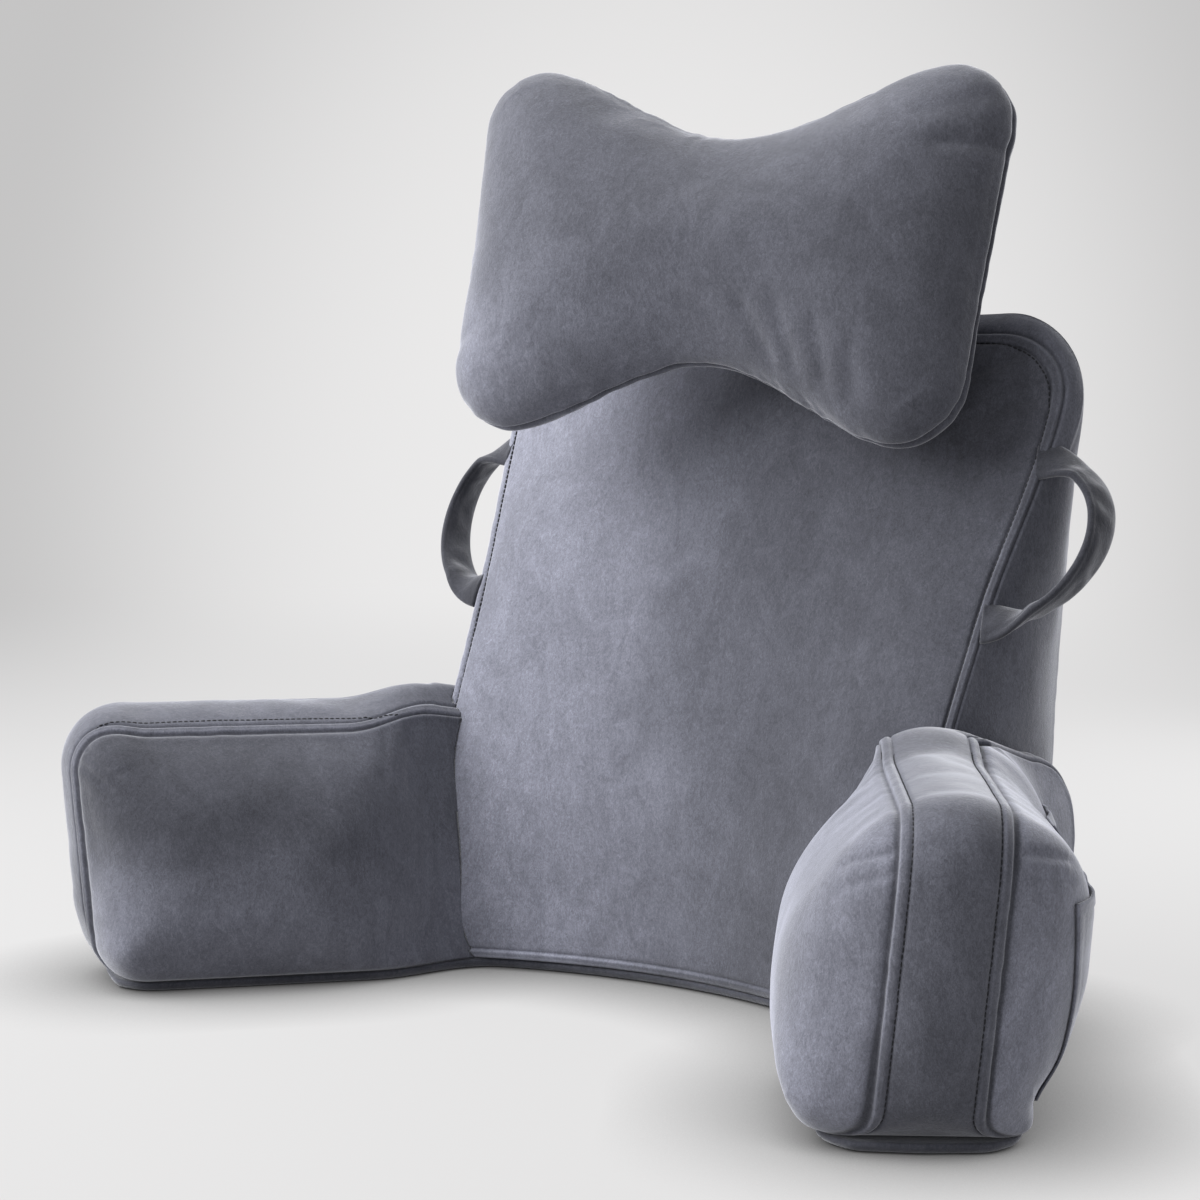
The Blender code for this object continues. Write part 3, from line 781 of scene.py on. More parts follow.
def back_drawn_in(z):
    drawn_in = 1 - smooth_step(ARM_SEAM_HEIGHT - 0.05, ARM_SEAM_HEIGHT + 0.20, z)
    return 1 - drawn_in * (1 - BACK_LOW_HALF_WIDTH / BACK_HALF_WIDTH)


def back_flare(z):
    return 1 + BACK_FRONT_FLARE * smooth_step(BACK_FLARE_FROM, BACK_FLARE_TO, z)


def back_front(point, fill):
    x, z = point
    return Vector((x * back_drawn_in(z) * back_flare(z), back_seam_y(x, z) - BACK_FRONT_PUFF * fill, z))


def back_rear(point, fill):
    x, z = point
    return Vector((x * back_drawn_in(z), MODEL_Y + BACK_REAR_Y + BACK_REAR_PUFF * fill, z))


def make_back():
    """Front panel, boxing and rear panel of the back rest."""
    half, low = BACK_HALF_WIDTH, BASE_HEIGHT + CLEARANCE
    corners = ((half, low, BACK_FOOT_RADIUS), (half, BACK_HEIGHT, BACK_TOP_RADIUS))
    mirrored = [(-x, z, radius) for x, z, radius in reversed(corners)]
    dense, marks = rounded_corners((*corners, *mirrored))
    line = four_sides(dense, marks, *BACK_CELLS)
    pad = SewnPad(line, *BACK_CELLS, BACK_EDGE)
    front, rear = pad.seam(back_front), pad.seam(back_rear)
    pad.panel(front, back_front, True, -1.0)
    pad.panel(rear, back_rear, False, 1.0)
    pad.side_of.update({**dict.fromkeys(front, -1.0), **dict.fromkeys(rear, 1.0)})

    def between(i, share):
        a, b = pad.points[front[i]], pad.points[rear[i]]
        lift = smooth_step(BASE_HEIGHT, BASE_HEIGHT + BACK_CROWN_FROM, line[i][1])
        out = BACK_SIDE_CROWN * lift * 4 * share * (1 - share)
        return a.lerp(b, share) + Vector((pad.normals[i][0] * out, 0.0, pad.normals[i][1] * out))

    pad.boxing(front, rear, between, BACK_BOXING_PITCH, BAND_ROWS[1::3])
    piece = pad.build("back_pad")
    lateral = column(piece.data, "lateral")
    band = (lateral <= SEAM_REACH) & (lateral > -HELD_BAND)
    fill_with_cloth(piece, band | low_points(piece.data), **BACK_FILLING)
    subdivide(piece)
    lay_relief(piece, pad, BACK_RELIEF)
    mesh = piece.data
    places, lateral = positions(mesh), column(mesh, "lateral")
    front_panel = (column(mesh, "side") < -0.5) * (lateral < 0.0)
    # Painted light on the front panel's left and at its left foot, painted shade on its right; painted light
    # and shade across the seams everywhere
    shaded, high = ramp(places[:, 0], *BACK_PAINTED_SHADING_X), ramp(places[:, 2], *BACK_PAINTED_LIGHT_FOOT_Z)
    painted_shading = BACK_PAINTED_LIGHT_LEFT + (BACK_PAINTED_SHADE_RIGHT - BACK_PAINTED_LIGHT_LEFT) * shaded
    painted_shading *= 1.0 + BACK_PAINTED_LIGHT_FOOT * (1.0 - high) * (1.0 - shaded)
    paint_shading(mesh, (1.0 + (painted_shading - 1.0) * front_panel) * seam_painted_shading(lateral, -1.0, True))
    return piece, pad


# Arms

def arm_place(side, u, v, z):
    """The point u along an arm's line, v to its outer side and z high. The right arm's side is 1."""
    if u >= 0:
        heading = ARM_SPLAY
        x = ARM_ROOT[0] + u * math.sin(heading)
        y = ARM_ROOT[1] - u * math.cos(heading)
    else:
        heading = max(ARM_SPLAY + u / ARM_BEND_RADIUS, 0.0)
        x = ARM_ROOT[0] + ARM_BEND_RADIUS * (math.cos(ARM_SPLAY) - math.cos(heading))
        y = ARM_ROOT[1] + ARM_BEND_RADIUS * (math.sin(ARM_SPLAY) - math.sin(heading))
        y += max(-u - ARM_SPLAY * ARM_BEND_RADIUS, 0.0)
    v += ARM_LEAN * (z - ARM_SEAM_HEIGHT)
    return Vector((side * (x + v * math.cos(heading)), MODEL_Y + y + v * math.sin(heading), z))


def arm_seam_half(u, z, inner):
    """Half the width between an arm's seams: the strip's above, and the base seam's at the bottom."""
    front_share = smooth_step(ARM_LENGTH - 0.012, ARM_LENGTH - 0.055, u)
    rear_share = smooth_step(-0.03, 0.06, u) if inner else 1.0
    base = (ARM_BASE_HALF - ARM_STRIP_HALF) * front_share * rear_share
    return ARM_STRIP_HALF + base * (1.0 - smooth_step(BASE_HEIGHT, BASE_HEIGHT + 0.03, z))


def arm_half_width(u, z, fill, inner):
    """How far the inner or outer panel stands from the arm's middle plane."""
    seam = arm_seam_half(u, z, inner)
    middle = (ARM_SEAM_HEIGHT + BASE_HEIGHT) / 2
    if inner:
        lower = 1.0 - ARM_INNER_SAG * smooth_step(middle, ARM_SEAM_HEIGHT, z)
        low = 1.0 - smooth_step(0.03, middle, z)
        fill += ARM_INNER_PLUMP * fill * (1.0 - fill) * low
        full = ARM_INNER_HALF + ARM_INNER_DROOP * low - seam
        return seam + full * fill * lower * smooth_step(-0.02, 0.10, u)
    fill *= 1.0 - ARM_OUTER_LIFT * (1.0 - smooth_step(BASE_HEIGHT, middle, z)) * smooth_step(0.0, 0.10, u)
    upright = min(abs(z - middle) / (ARM_SEAM_HEIGHT - middle), 1.0)
    rear = max(1.0 + (1.0 - ARM_REAR_FILL) * min(u, 0.0) / -ARM_REAR, 0.0)
    if u < 0:
        fill = max(fill, rear * fill_share(upright))
    return seam + (ARM_OUTER_HALF - seam) * fill


def arm_line():
    low = BASE_HEIGHT + CLEARANCE
    dense, marks = rounded_corners([(row["u"], max(row["z"], low), row["radius"]) for row in ARM_OUTLINE])
    del marks[2]
    return four_sides(dense, marks, *ARM_CELLS)


def arm_settled(side, u, v, z):
    """Where a point of an arm lies once its root has risen and the left arm's strip has rolled."""
    high = smooth_step(0.06, ARM_SEAM_HEIGHT, z)
    z += ARM_ROOT_RISE * high * smooth_step(0.075, 0.0, u)
    if side > 0:
        return v, z
    inside = high * smooth_step(ARM_STRIP_HALF * 1.2, -ARM_STRIP_HALF, v)
    z -= ARM_LEFT_ROLL * inside * smooth_step(ARM_LENGTH + 0.01, ARM_LENGTH - 0.06, u)
    return v + ARM_LEFT_DRAW * inside * smooth_step(0.075, -0.03, u), z


def make_arm(name, side, settled):
    """Inner panel, the stitched strip over top and front, and outer panel of one arm."""
    line = arm_line()
    pad = SewnPad(line, *ARM_CELLS, ARM_EDGE)

    def settle(u, v, z):
        return arm_place(side, u, *arm_settled(side, u, v, z))

    def inner(point, fill):
        return settle(point[0], -arm_half_width(point[0], point[1], fill, True), point[1])

    def outer(point, fill):
        return settle(point[0], arm_half_width(point[0], point[1], fill, False), point[1])

    near, far = pad.seam(inner), pad.seam(outer)
    pad.panel(near, inner, False, -1.0)
    pad.panel(far, outer, True, 1.0)

    def between(i, share):
        u, z = line[i]
        lift = smooth_step(BASE_HEIGHT, BASE_HEIGHT + ARM_CROWN_FROM, z)
        out = ARM_TOP_CROWN * lift * 4 * share * (1 - share)
        u, z = u + pad.normals[i][0] * out, z + pad.normals[i][1] * out
        low, high = -arm_half_width(*line[i], 0.0, True), arm_half_width(*line[i], 0.0, False)
        return settle(u, low + (high - low) * share, z)

    pad.boxing(near, far, between, ARM_STRIP_PITCH)
    piece = pad.build(name)
    lateral = column(piece.data, "lateral")
    band = (lateral >= -SEAM_REACH) & (lateral < HELD_BAND)
    root = column(piece.data, "flat_x") < ARM_HELD_ROOT
    if settled is None:
        moved = fill_with_cloth(piece, band | low_points(piece.data) | root, **ARM_FILLING)
    else:
        moved = settled * np.array([-1.0, 1.0, 1.0])
        set_positions(piece.data, positions(piece.data) + moved)
    subdivide(piece)
    lay_relief(piece, pad, ARM_RELIEF, side)
    paint_arm_shading(piece.data, side)
    return piece, pad, moved


def paint_arm_shading(mesh, side):
    # Painted light on the inner panels, with painted shade high on the left one and more of it away from the
    # root, and more painted light at the right one's foot; painted light on the outer panel; painted shade
    # low on the strip
    z, lateral = positions(mesh)[:, 2], column(mesh, "lateral")
    panel = column(mesh, "side") * (lateral < 0.0)
    if side < 0:
        toward_tip = ramp(column(mesh, "flat_x"), *ARM_PAINTED_SHADE_LEFT_U)
        inner = ARM_PAINTED_LIGHT_INNER + (ARM_PAINTED_SHADE_LEFT_TOP + ARM_PAINTED_SHADE_LEFT_TIP * toward_tip) * ramp(z, *ARM_PAINTED_SHADE_LEFT_Z)
    else:
        inner = ARM_PAINTED_LIGHT_INNER + ARM_PAINTED_LIGHT_RIGHT_FOOT * (1.0 - ramp(z, *ARM_PAINTED_LIGHT_RIGHT_Z))
    strip = ARM_PAINTED_SHADE_STRIP_LOW + (1.0 - ARM_PAINTED_SHADE_STRIP_LOW) * ramp(z, *ARM_PAINTED_SHADE_STRIP_Z)
    painted_shading = np.where(panel < -0.5, inner, np.where(panel > 0.5, ARM_PAINTED_LIGHT_OUTER, strip))
    paint_shading(mesh, painted_shading * seam_painted_shading(lateral, 1.0, True))


# Neck pillow

def neck_line():
    half, end = NECK_HALF_WIDTH, NECK_END_HALF
    corners = [(half, -end), (half, end), (-half, end), (-half, -end)]
    dense, marks = rounded_corners([(x, z, NECK_CORNER_RADIUS) for x, z in corners])
    line = four_sides(dense, marks, *NECK_CELLS)
    waist = 0.5 + 0.5 * np.cos(np.pi * np.minimum(np.abs(line[:, 0]) / (half * NECK_WAIST_REACH), 1.0))
    shaped = line.copy()
    shaped[:, 0] = line[:, 0] * (1 + NECK_FLARE * line[:, 1] / end)
    shaped[:, 1] = line[:, 1] * (1 - waist * (1 - NECK_WAIST_HALF / end))
    return shaped


def make_neck_pillow():
    """Two bow-tie panels sewn edge to edge and filled."""
    yaw, lean = Matrix.Rotation(NECK_YAW, 3, "Z"), Matrix.Rotation(-NECK_LEAN, 3, "X")
    pose = yaw @ lean @ Matrix.Rotation(NECK_ROLL, 3, "Y")
    centre = Vector(NECK_CENTRE) + Vector((0.0, MODEL_Y, 0.0))
    line = neck_line()
    pad = SewnPad(line, *NECK_CELLS, NECK_EDGE)
    pad.bulge, pad.roll = NECK_BULGE, NECK_ROLL_WIDTH

    def panel_place(way):
        return lambda p, fill: centre + pose @ Vector((p[0], way * NECK_THICKNESS / 2 * fill, p[1]))

    seam = pad.seam(panel_place(1))
    for way, flip in ((-1, True), (1, False)):
        pad.panel(seam, panel_place(way), flip, float(way))
    piece = pad.build("neck_pad")
    fill_with_cloth(piece, column(piece.data, "lateral") > -HELD_NECK, **NECK_FILLING)
    subdivide(piece)
    lay_relief(piece, pad, NECK_RELIEF)
    mesh = piece.data
    # Painted shade over the pillow, with painted light toward its lower left
    places = positions(mesh)
    low_left = (1.0 - ramp(places[:, 2], *NECK_PAINTED_LIGHT_Z)) * (1.0 - ramp(places[:, 0], *NECK_PAINTED_LIGHT_X))
    paint_shading(mesh, (NECK_PAINTED_SHADE + NECK_PAINTED_LIGHT_LOW_LEFT * low_left) * seam_painted_shading(column(mesh, "lateral"), 1.0, False))
    return piece


# Base panel

def base_half_outline():
    """The right half of the base seam seen from above, from the middle of the front round to the rear."""
    points = [Vector((x, back_seam_y(x, BASE_HEIGHT))) for x in np.linspace(0.0, BASE_FRONT_HALF, 12)]
    front_u = ARM_LENGTH - BASE_FRONT_INSET
    for u in np.linspace(-BASE_REAR_INSET, front_u, 30):
        points.append(arm_place(1, u, -arm_seam_half(u, 0.0, True), 0.0).xy)
    points.append(arm_place(1, front_u + 0.004, 0.0, 0.0).xy)
    for u in np.linspace(front_u, ARM_REAR + BASE_REAR_INSET, 40):
        points.append(arm_place(1, u, arm_seam_half(u, 0.0, False), 0.0).xy)
    points.append(Vector((BACK_LOW_HALF_WIDTH - BASE_BACK_INSET, MODEL_Y + BACK_REAR_Y)))
    points += [Vector((x, MODEL_Y + BACK_REAR_Y)) for x in np.linspace(0.2, 0.0, 14)]
    return points


def tube_faces(rings, around, first=0):
    """Faces between rings of points, and a face on each end."""
    faces = []
    for k in range(rings - 1):
        a, b = first + k * around, first + (k + 1) * around
        faces += [(a + i, a + (i + 1) % around, b + (i + 1) % around, b + i) for i in range(around)]
    faces.append(tuple(first + i for i in reversed(range(around))))
    faces.append(tuple(first + (rings - 1) * around + i for i in range(around)))
    return faces


def make_base():
    """The U-shaped panel underneath: flat on the surface, its rim rounded up to the base seam."""
    right = base_half_outline()
    corners = np.array([tuple(p) for p in right + [Vector((-p.x, p.y)) for p in reversed(right[1:-1])]])
    outline = evenly(np.vstack([corners, corners[:1]]), BASE_POINTS)
    for _ in range(BASE_ROUNDS):
        outline = (np.roll(outline, 1, axis=0) + 2 * outline + np.roll(outline, -1, axis=0)) / 4
    normals = seam_normals(outline)
    crimp = np.array([noise.noise((p[0] * BASE_CRIMP_WAVES, p[1] * BASE_CRIMP_WAVES, 3.0)) for p in outline])
    points = []
    for share, out in BASE_RIM:
        wave = BASE_CRIMP * crimp * math.sin(math.pi * share)
        for p, n, w in zip(outline, normals, wave):
            points.append((*(p + n * (out + w)), share * BASE_HEIGHT))
    return mesh_piece("base_cloth", points, tube_faces(len(BASE_RIM), BASE_POINTS))


def mesh_piece(name, points, faces):
    mesh = closed_mesh(name, points, faces)
    mesh.shade_smooth()
    paint_shading(mesh, np.ones(len(mesh.vertices)))
    return add_object(name, mesh)


# Handles

def handle_frame(side, turn):
    """Middle, width direction and thickness direction of a handle at an angle of its half loop."""
    half_height = (HANDLE_TOP_Z - HANDLE_BOTTOM_Z) / 2
    out_way = Vector((side * HANDLE_OUT[0], *HANDLE_OUT[1:]))
    z = (HANDLE_TOP_Z + HANDLE_BOTTOM_Z) / 2 + half_height * math.cos(turn)
    root_x = BACK_HALF_WIDTH * back_flare(z) - HANDLE_ROOT_INSET
    root = Vector((side * root_x, back_seam_y(BACK_HALF_WIDTH, z), z))
    along_seam = Vector(HANDLE_ALONG).normalized()
    middle = root + out_way * (HANDLE_REACH * math.sin(turn))
    way = (-along_seam * half_height * math.sin(turn) + out_way * HANDLE_REACH * math.cos(turn)).normalized()
    twist = max(1 - math.sin(turn) / HANDLE_TWIST, 0.0)
    wide = Vector((0.0, 1.0, 0.0)).lerp(along_seam, twist)
    wide = (wide - way * wide.dot(way)).normalized()
    return middle, wide, way.cross(wide)


def make_handle(name, side):
    """A flat tube of cloth with a seam along one edge, soft creases, and twisted ends."""
    points = []
    for k in range(HANDLE_STEPS + 1):
        middle, wide, thin = handle_frame(side, math.pi * k / HANDLE_STEPS)
        for j in range(HANDLE_SIDES):
            turn = 2 * math.pi * j / HANDLE_SIDES
            across = math.copysign(abs(math.cos(turn)) ** HANDLE_EDGE_POWER, math.cos(turn))
            depth = math.copysign(abs(math.sin(turn)) ** HANDLE_FACE_POWER, math.sin(turn))
            crease = noise.noise((k * 0.16, across * 0.9, side * 3.0 + (2.0 if depth > 0 else 5.0)))
            depth *= 1.0 + HANDLE_CREASE * crease * (1 - across * across)
            seam = math.exp(-(((across * HANDLE_WIDTH / 2 + HANDLE_SEAM) / HANDLE_SEAM_WIDTH) ** 2))
            thick = HANDLE_THICKNESS / 2 * depth - math.copysign(HANDLE_SEAM_DEPTH * seam, depth)
            points.append(middle + wide * (HANDLE_WIDTH / 2 * across) + thin * thick)
    piece = mesh_piece(name, points, tube_faces(HANDLE_STEPS + 1, HANDLE_SIDES))
    subdivide(piece)
    return piece


# Pockets

def grid_sides(grid):
    return grid[:, 0], grid[:, -1], grid[0], grid[-1]


def eased(grid, rounds):
    """A grid with its points drawn toward their neighbours, those on its sides along the side alone."""
    for _ in range(rounds):
        middle = grid.copy()
        around = grid[:-2, 1:-1] + grid[2:, 1:-1] + grid[1:-1, :-2] + grid[1:-1, 2:]
        middle[1:-1, 1:-1] = (grid[1:-1, 1:-1] * 2 + around) / 6
        for new, old in zip(grid_sides(middle), grid_sides(grid)):
            new[1:-1] = (old[:-2] + 2 * old[1:-1] + old[2:]) / 4
        grid = middle
    return grid


def make_pocket(row, arm_tree):
    """A patch of cloth over the right arm's outer panel, slack at its top hem and front edge."""
    places = np.zeros((POCKET_CELLS + 1, POCKET_CELLS + 1, 3))
    outward = np.zeros_like(places)
    wide, tall = row["u_front"] - row["u_rear"], row["top"] - POCKET_BOTTOM
    for i in range(POCKET_CELLS + 1):
        for j in range(POCKET_CELLS + 1):
            front = row["u_foot"] + (row["u_front"] - row["u_foot"]) * j / POCKET_CELLS
            u = row["u_rear"] + (front - row["u_rear"]) * i / POCKET_CELLS
            z = POCKET_BOTTOM + tall * j / POCKET_CELLS
            guess = arm_place(1, u, ARM_OUTER_HALF + 0.03, z)
            way = (arm_place(1, u, 0.0, z) - guess).normalized()
            hit, normal, _, _ = arm_tree.ray_cast(guess, way)
            places[i, j], outward[i, j] = hit, normal
    places, outward = eased(places, POCKET_ROUNDS), eased(outward, 2 * POCKET_ROUNDS)
    outward /= np.linalg.norm(outward, axis=2)[..., None]
    outer, inner, edges = [], [], []
    for i in range(POCKET_CELLS + 1):
        for j in range(POCKET_CELLS + 1):
            share_u, share_z = i / POCKET_CELLS, j / POCKET_CELLS
            fold = 0.5 + 0.5 * math.sin(share_u * POCKET_FOLD_TURNS + 2.2 * share_z + row["u_front"] * 40)
            slack = smooth_step(0.25, 1.0, share_z) * math.sin(math.pi * share_u) ** 0.6
            lift = POCKET_LIFT + POCKET_SLACK * slack + POCKET_FOLD * fold * slack
            edge = min((1 - share_z) * tall, (1 - share_u) * wide)
            hem = POCKET_HEM_RISE * (1 - smooth_step(POCKET_HEM * 0.8, POCKET_HEM, edge))
            hem -= POCKET_HEM_GROOVE * math.exp(-(((edge - POCKET_HEM) / POCKET_HEM_STITCH) ** 2))
            edges.append(edge)
            place, way = Vector(places[i, j]), Vector(outward[i, j])
            inner.append(place + way * lift)
            outer.append(place + way * (lift + POCKET_CLOTH + hem))
    width = POCKET_CELLS + 1
    total = width * width
    faces = []
    for i in range(POCKET_CELLS):
        for j in range(POCKET_CELLS):
            a, b = i * width + j, (i + 1) * width + j
            faces.append((a, b, b + 1, a + 1))
            faces.append((total + a, total + a + 1, total + b + 1, total + b))
    last = POCKET_CELLS
    rim = [i * width for i in range(last)] + [last * width + j for j in range(last)]
    rim += [i * width + last for i in range(last, 0, -1)] + list(range(last, 0, -1))
    for a, b in zip(rim, rim[1:] + rim[:1]):
        faces.append((a, b, total + b, total + a))
    piece = mesh_piece(row["name"] + "_cloth", inner + outer, faces)
    edges = np.array(edges)
    # Painted light on the outside, a painted highlight along the edges, painted shade in the hem's groove and
    # on the inside
    painted_shading = POCKET_PAINTED_LIGHT + bump_row(edges, *POCKET_EDGE_PAINTED_HIGHLIGHT) + bump_row(edges, *POCKET_STITCH_PAINTED_SHADE)
    paint_shading(piece.data, np.concatenate([np.full(total, POCKET_PAINTED_SHADE_INSIDE), painted_shading]))
    return piece


# Topstitching

def stitch_points(path):
    """Rings of points around short stitches along a path of (place, normal)."""
    places = [Vector(p) for p, _ in path]
    along = [0.0]
    for a, b in zip(places, places[1:]):
        along.append(along[-1] + (b - a).length)
    points = []
    index = 0
    for number in range(int(along[-1] / STITCH_PITCH)):
        at = number * STITCH_PITCH
        while along[index + 1] < at:
            index += 1
        share = (at - along[index]) / max(along[index + 1] - along[index], 1e-9)
        middle = places[index].lerp(places[index + 1], share)
        way = (places[index + 1] - places[index]).normalized()
        up = Vector(path[index][1])
        across = way.cross(up).normalized()
        for reach, size in STITCH_RINGS:
            for k in range(STITCH_SIDES):
                turn = 2 * math.pi * k / STITCH_SIDES
                wide, high = STITCH_WIDTH * size, STITCH_WIDTH * size * STITCH_FLATNESS
                offset = across * (math.cos(turn) * wide) + up * (math.sin(turn) * high - STITCH_SUNK)
                points.append(middle + way * (reach * STITCH_LENGTH) + offset)
    return points


def stitches(name, runs):
    points = [point for run in runs for point in stitch_points(run)]
    rings = len(STITCH_RINGS)
    faces = []
    for first in range(0, len(points), rings * STITCH_SIDES):
        faces += tube_faces(rings, STITCH_SIDES, first)
    return mesh_piece(name, points, faces)


def surface_path(tree, guesses):
    """The nearest places on a surface to a line of guesses, with the surface's normals."""
    path = []
    for guess in guesses:
        hit, normal, _, _ = tree.find_nearest(guess)
        path.append((hit, normal))
    return path


def after_gap(run, count):
    """The places of a run of (index, place) along a closed line of count points, starting after its gap."""
    gaps = [k for k in range(len(run)) if (run[k][0] - run[k - 1][0]) % count != 1]
    first = gaps[0] if gaps else 0
    return [place for _, place in run[first:] + run[:first]]


def stitch_back(pad, tree):
    """Topstitching around the front panel, beside its seam."""
    run = []
    for index, point in enumerate(pad.line):
        if point[1] > BACK_STITCHED_FROM:
            inset = pad.middle + (point - pad.middle) * (1 - TOPSTITCH / pad.half)
            run.append((index, back_front(inset, pad.fill_at(TOPSTITCH))))
    return stitches("back_stitches", [surface_path(tree, after_gap(run, len(pad.line)))])


def stitch_arm(name, side, piece, pad):
    """Topstitching on both sides of the strip over an arm's top and down its front."""
    tree = surface_tree(piece)
    runs = []
    for inner, top_from in ((True, ARM_STITCHED_INNER), (False, ARM_STITCHED_OUTER)):
        run = []
        for index, (u, z) in enumerate(pad.line):
            front = u > ARM_LENGTH - ARM_STITCHED_FRONT and z > ARM_STITCHED_LOW
            top = z > ARM_STITCHED_HIGH and u > top_from
            if front or top:
                v = arm_half_width(u, z, 0.0, inner) - TOPSTITCH
                run.append((index, arm_place(side, u, -v if inner else v, z)))
        runs.append(surface_path(tree, after_gap(run, len(pad.line))))
    return stitches(f"arm_{name}_stitches", runs)


# Shader nodes

def new_material(name, values):
    """A material, its nodes, links and surface, with the surface's values set by name."""
    material = bpy.data.materials.new(name)
    material.use_nodes = True
    nodes, links = material.node_tree.nodes, material.node_tree.links
    surface = nodes["Principled BSDF"]
    set_inputs(surface, values)
    return material, nodes, links, surface


def set_inputs(node, values):
    for name, value in values.items():
        node.inputs[name].default_value = value


def math_node(nodes, links, operation, first, second):
    """A Math node of two inputs, each a socket or a number."""
    node = nodes.new("ShaderNodeMath")
    node.operation = operation
    for socket, value in zip(node.inputs, (first, second)):
        if isinstance(value, (int, float)):
            socket.default_value = value
        else:
            links.new(value, socket)
    return node.outputs[0]


def vector_node(nodes, links, operation, first):
    node = nodes.new("ShaderNodeVectorMath")
    node.operation = operation
    links.new(first, node.inputs[0])
    return node


def spread(nodes, links, value, low, high, at_low, at_high):
    """A smooth step of a value between low and high."""
    span = nodes.new("ShaderNodeMapRange")
    span.interpolation_type = "SMOOTHSTEP"
    set_inputs(span, {"From Min": low, "From Max": high, "To Min": at_low, "To Max": at_high})
    links.new(value, span.inputs["Value"])
    return span.outputs["Result"]


# Velour

VELOUR_COLOUR = (0.110, 0.113, 0.138)
VELOUR_SURFACE = {
    "Roughness": 0.92, "Specular IOR Level": 0.12,
    "Sheen Weight": 0.70, "Sheen Roughness": 0.42, "Sheen Tint": (0.82, 0.83, 0.87, 1.0),
}
# The pile's shade, from cloudy patches down to its nap. Each layer has a noise (scale, detail, roughness,
# distortion, stretch along z) and its spread (from, to, darkest, palest)
PILE_LAYERS = (
    ((7.0, 2.0, 0.50, 0.4, 1.0), (0.34, 0.68, 0.90, 1.12)),
    ((27.0, 5.0, 0.66, 1.6, 0.60), (0.32, 0.70, 0.89, 1.12)),
    ((170.0, 4.0, 0.70, 2.2, 0.60), (0.32, 0.70, 0.88, 1.14)),
    ((620.0, 3.0, 0.75, 1.8, 0.50), (0.30, 0.72, 0.78, 1.25)),
)
# Painted sheen: the colour is paler toward grazing view, where the pile is seen from the side
SHEEN_EDGE_BLEND = 0.36
PAINTED_SHEEN_EDGE = (0.18, 0.95, 0.90, 2.05)
# Bumps, coarse before fine: the noise, the bump's strength and its height
PILE_BUMPS = (
    ((150.0, 3.0, 0.6, 1.0, 1.0), 0.35, 0.0010),
    ((900.0, 2.0, 0.6, 0.8, 1.0), 0.45, 0.0005),
)
THREAD_COLOUR = (0.006, 0.0065, 0.010)
THREAD_TWIST = 1500.0


def velour(name, shade=1.0):
    """Short-pile velour, darker where shade is below 1, with the mesh's painted light and shade and a painted
    sheen at grazing view.
    """
    material, nodes, links, surface = new_material(name, VELOUR_SURFACE)
    place = nodes.new("ShaderNodeTexCoord")

    def pile_noise(scale, detail, roughness, distortion, stretch):
        mapping = nodes.new("ShaderNodeMapping")
        mapping.inputs["Scale"].default_value = (1.0, 1.0, stretch)
        links.new(place.outputs["Object"], mapping.inputs["Vector"])
        node = nodes.new("ShaderNodeTexNoise")
        set_inputs(node, {"Scale": scale, "Detail": detail, "Roughness": roughness, "Distortion": distortion})
        links.new(mapping.outputs["Vector"], node.inputs["Vector"])
        return node.outputs[0]

    # The painted light and shade kept on the mesh, multiplied with the pile's random tone
    painted_shading_attribute = nodes.new("ShaderNodeAttribute")
    painted_shading_attribute.attribute_name = "painted_shading"
    pile_tone_and_painted_shading = painted_shading_attribute.outputs["Fac"]
    for layer, limits in PILE_LAYERS:
        pile_tone_and_painted_shading = math_node(nodes, links, "MULTIPLY", spread(nodes, links, pile_noise(*layer), *limits), pile_tone_and_painted_shading)
    # Painted sheen: the colour is multiplied up where the surface is seen edge-on
    facing = nodes.new("ShaderNodeLayerWeight")
    facing.inputs["Blend"].default_value = SHEEN_EDGE_BLEND
    edge = spread(nodes, links, facing.outputs[0], *PAINTED_SHEEN_EDGE)
    colour = nodes.new("ShaderNodeMix")
    colour.data_type = "RGBA"
    colour.blend_type = "MULTIPLY"
    colour.inputs["Factor"].default_value = 1.0
    colour.inputs[6].default_value = (*[part * shade for part in VELOUR_COLOUR], 1.0)
    links.new(math_node(nodes, links, "MULTIPLY", pile_tone_and_painted_shading, edge), colour.inputs[7])
    links.new(colour.outputs[2], surface.inputs["Base Color"])
    normal = None
    for layer, strength, height in PILE_BUMPS:
        bump = nodes.new("ShaderNodeBump")
        set_inputs(bump, {"Strength": strength, "Distance": height})
        links.new(pile_noise(*layer), bump.inputs["Height"])
        if normal:
            links.new(normal, bump.inputs["Normal"])
        normal = bump.outputs["Normal"]
    links.new(normal, surface.inputs["Normal"])
    return material


def thread(name):
    material, nodes, links, surface = new_material(name, {"Roughness": 0.7})
    place = nodes.new("ShaderNodeTexCoord")
    twist = nodes.new("ShaderNodeTexNoise")
    twist.inputs["Scale"].default_value = THREAD_TWIST
    links.new(place.outputs["Object"], twist.inputs["Vector"])
    ramp = nodes.new("ShaderNodeValToRGB")
    for element, shade in zip(ramp.color_ramp.elements, (0.6, 1.5)):
        element.color = (*[part * shade for part in THREAD_COLOUR], 1.0)
    links.new(twist.outputs[0], ramp.inputs["Fac"])
    links.new(ramp.outputs["Color"], surface.inputs["Base Color"])
    return material


# Stage

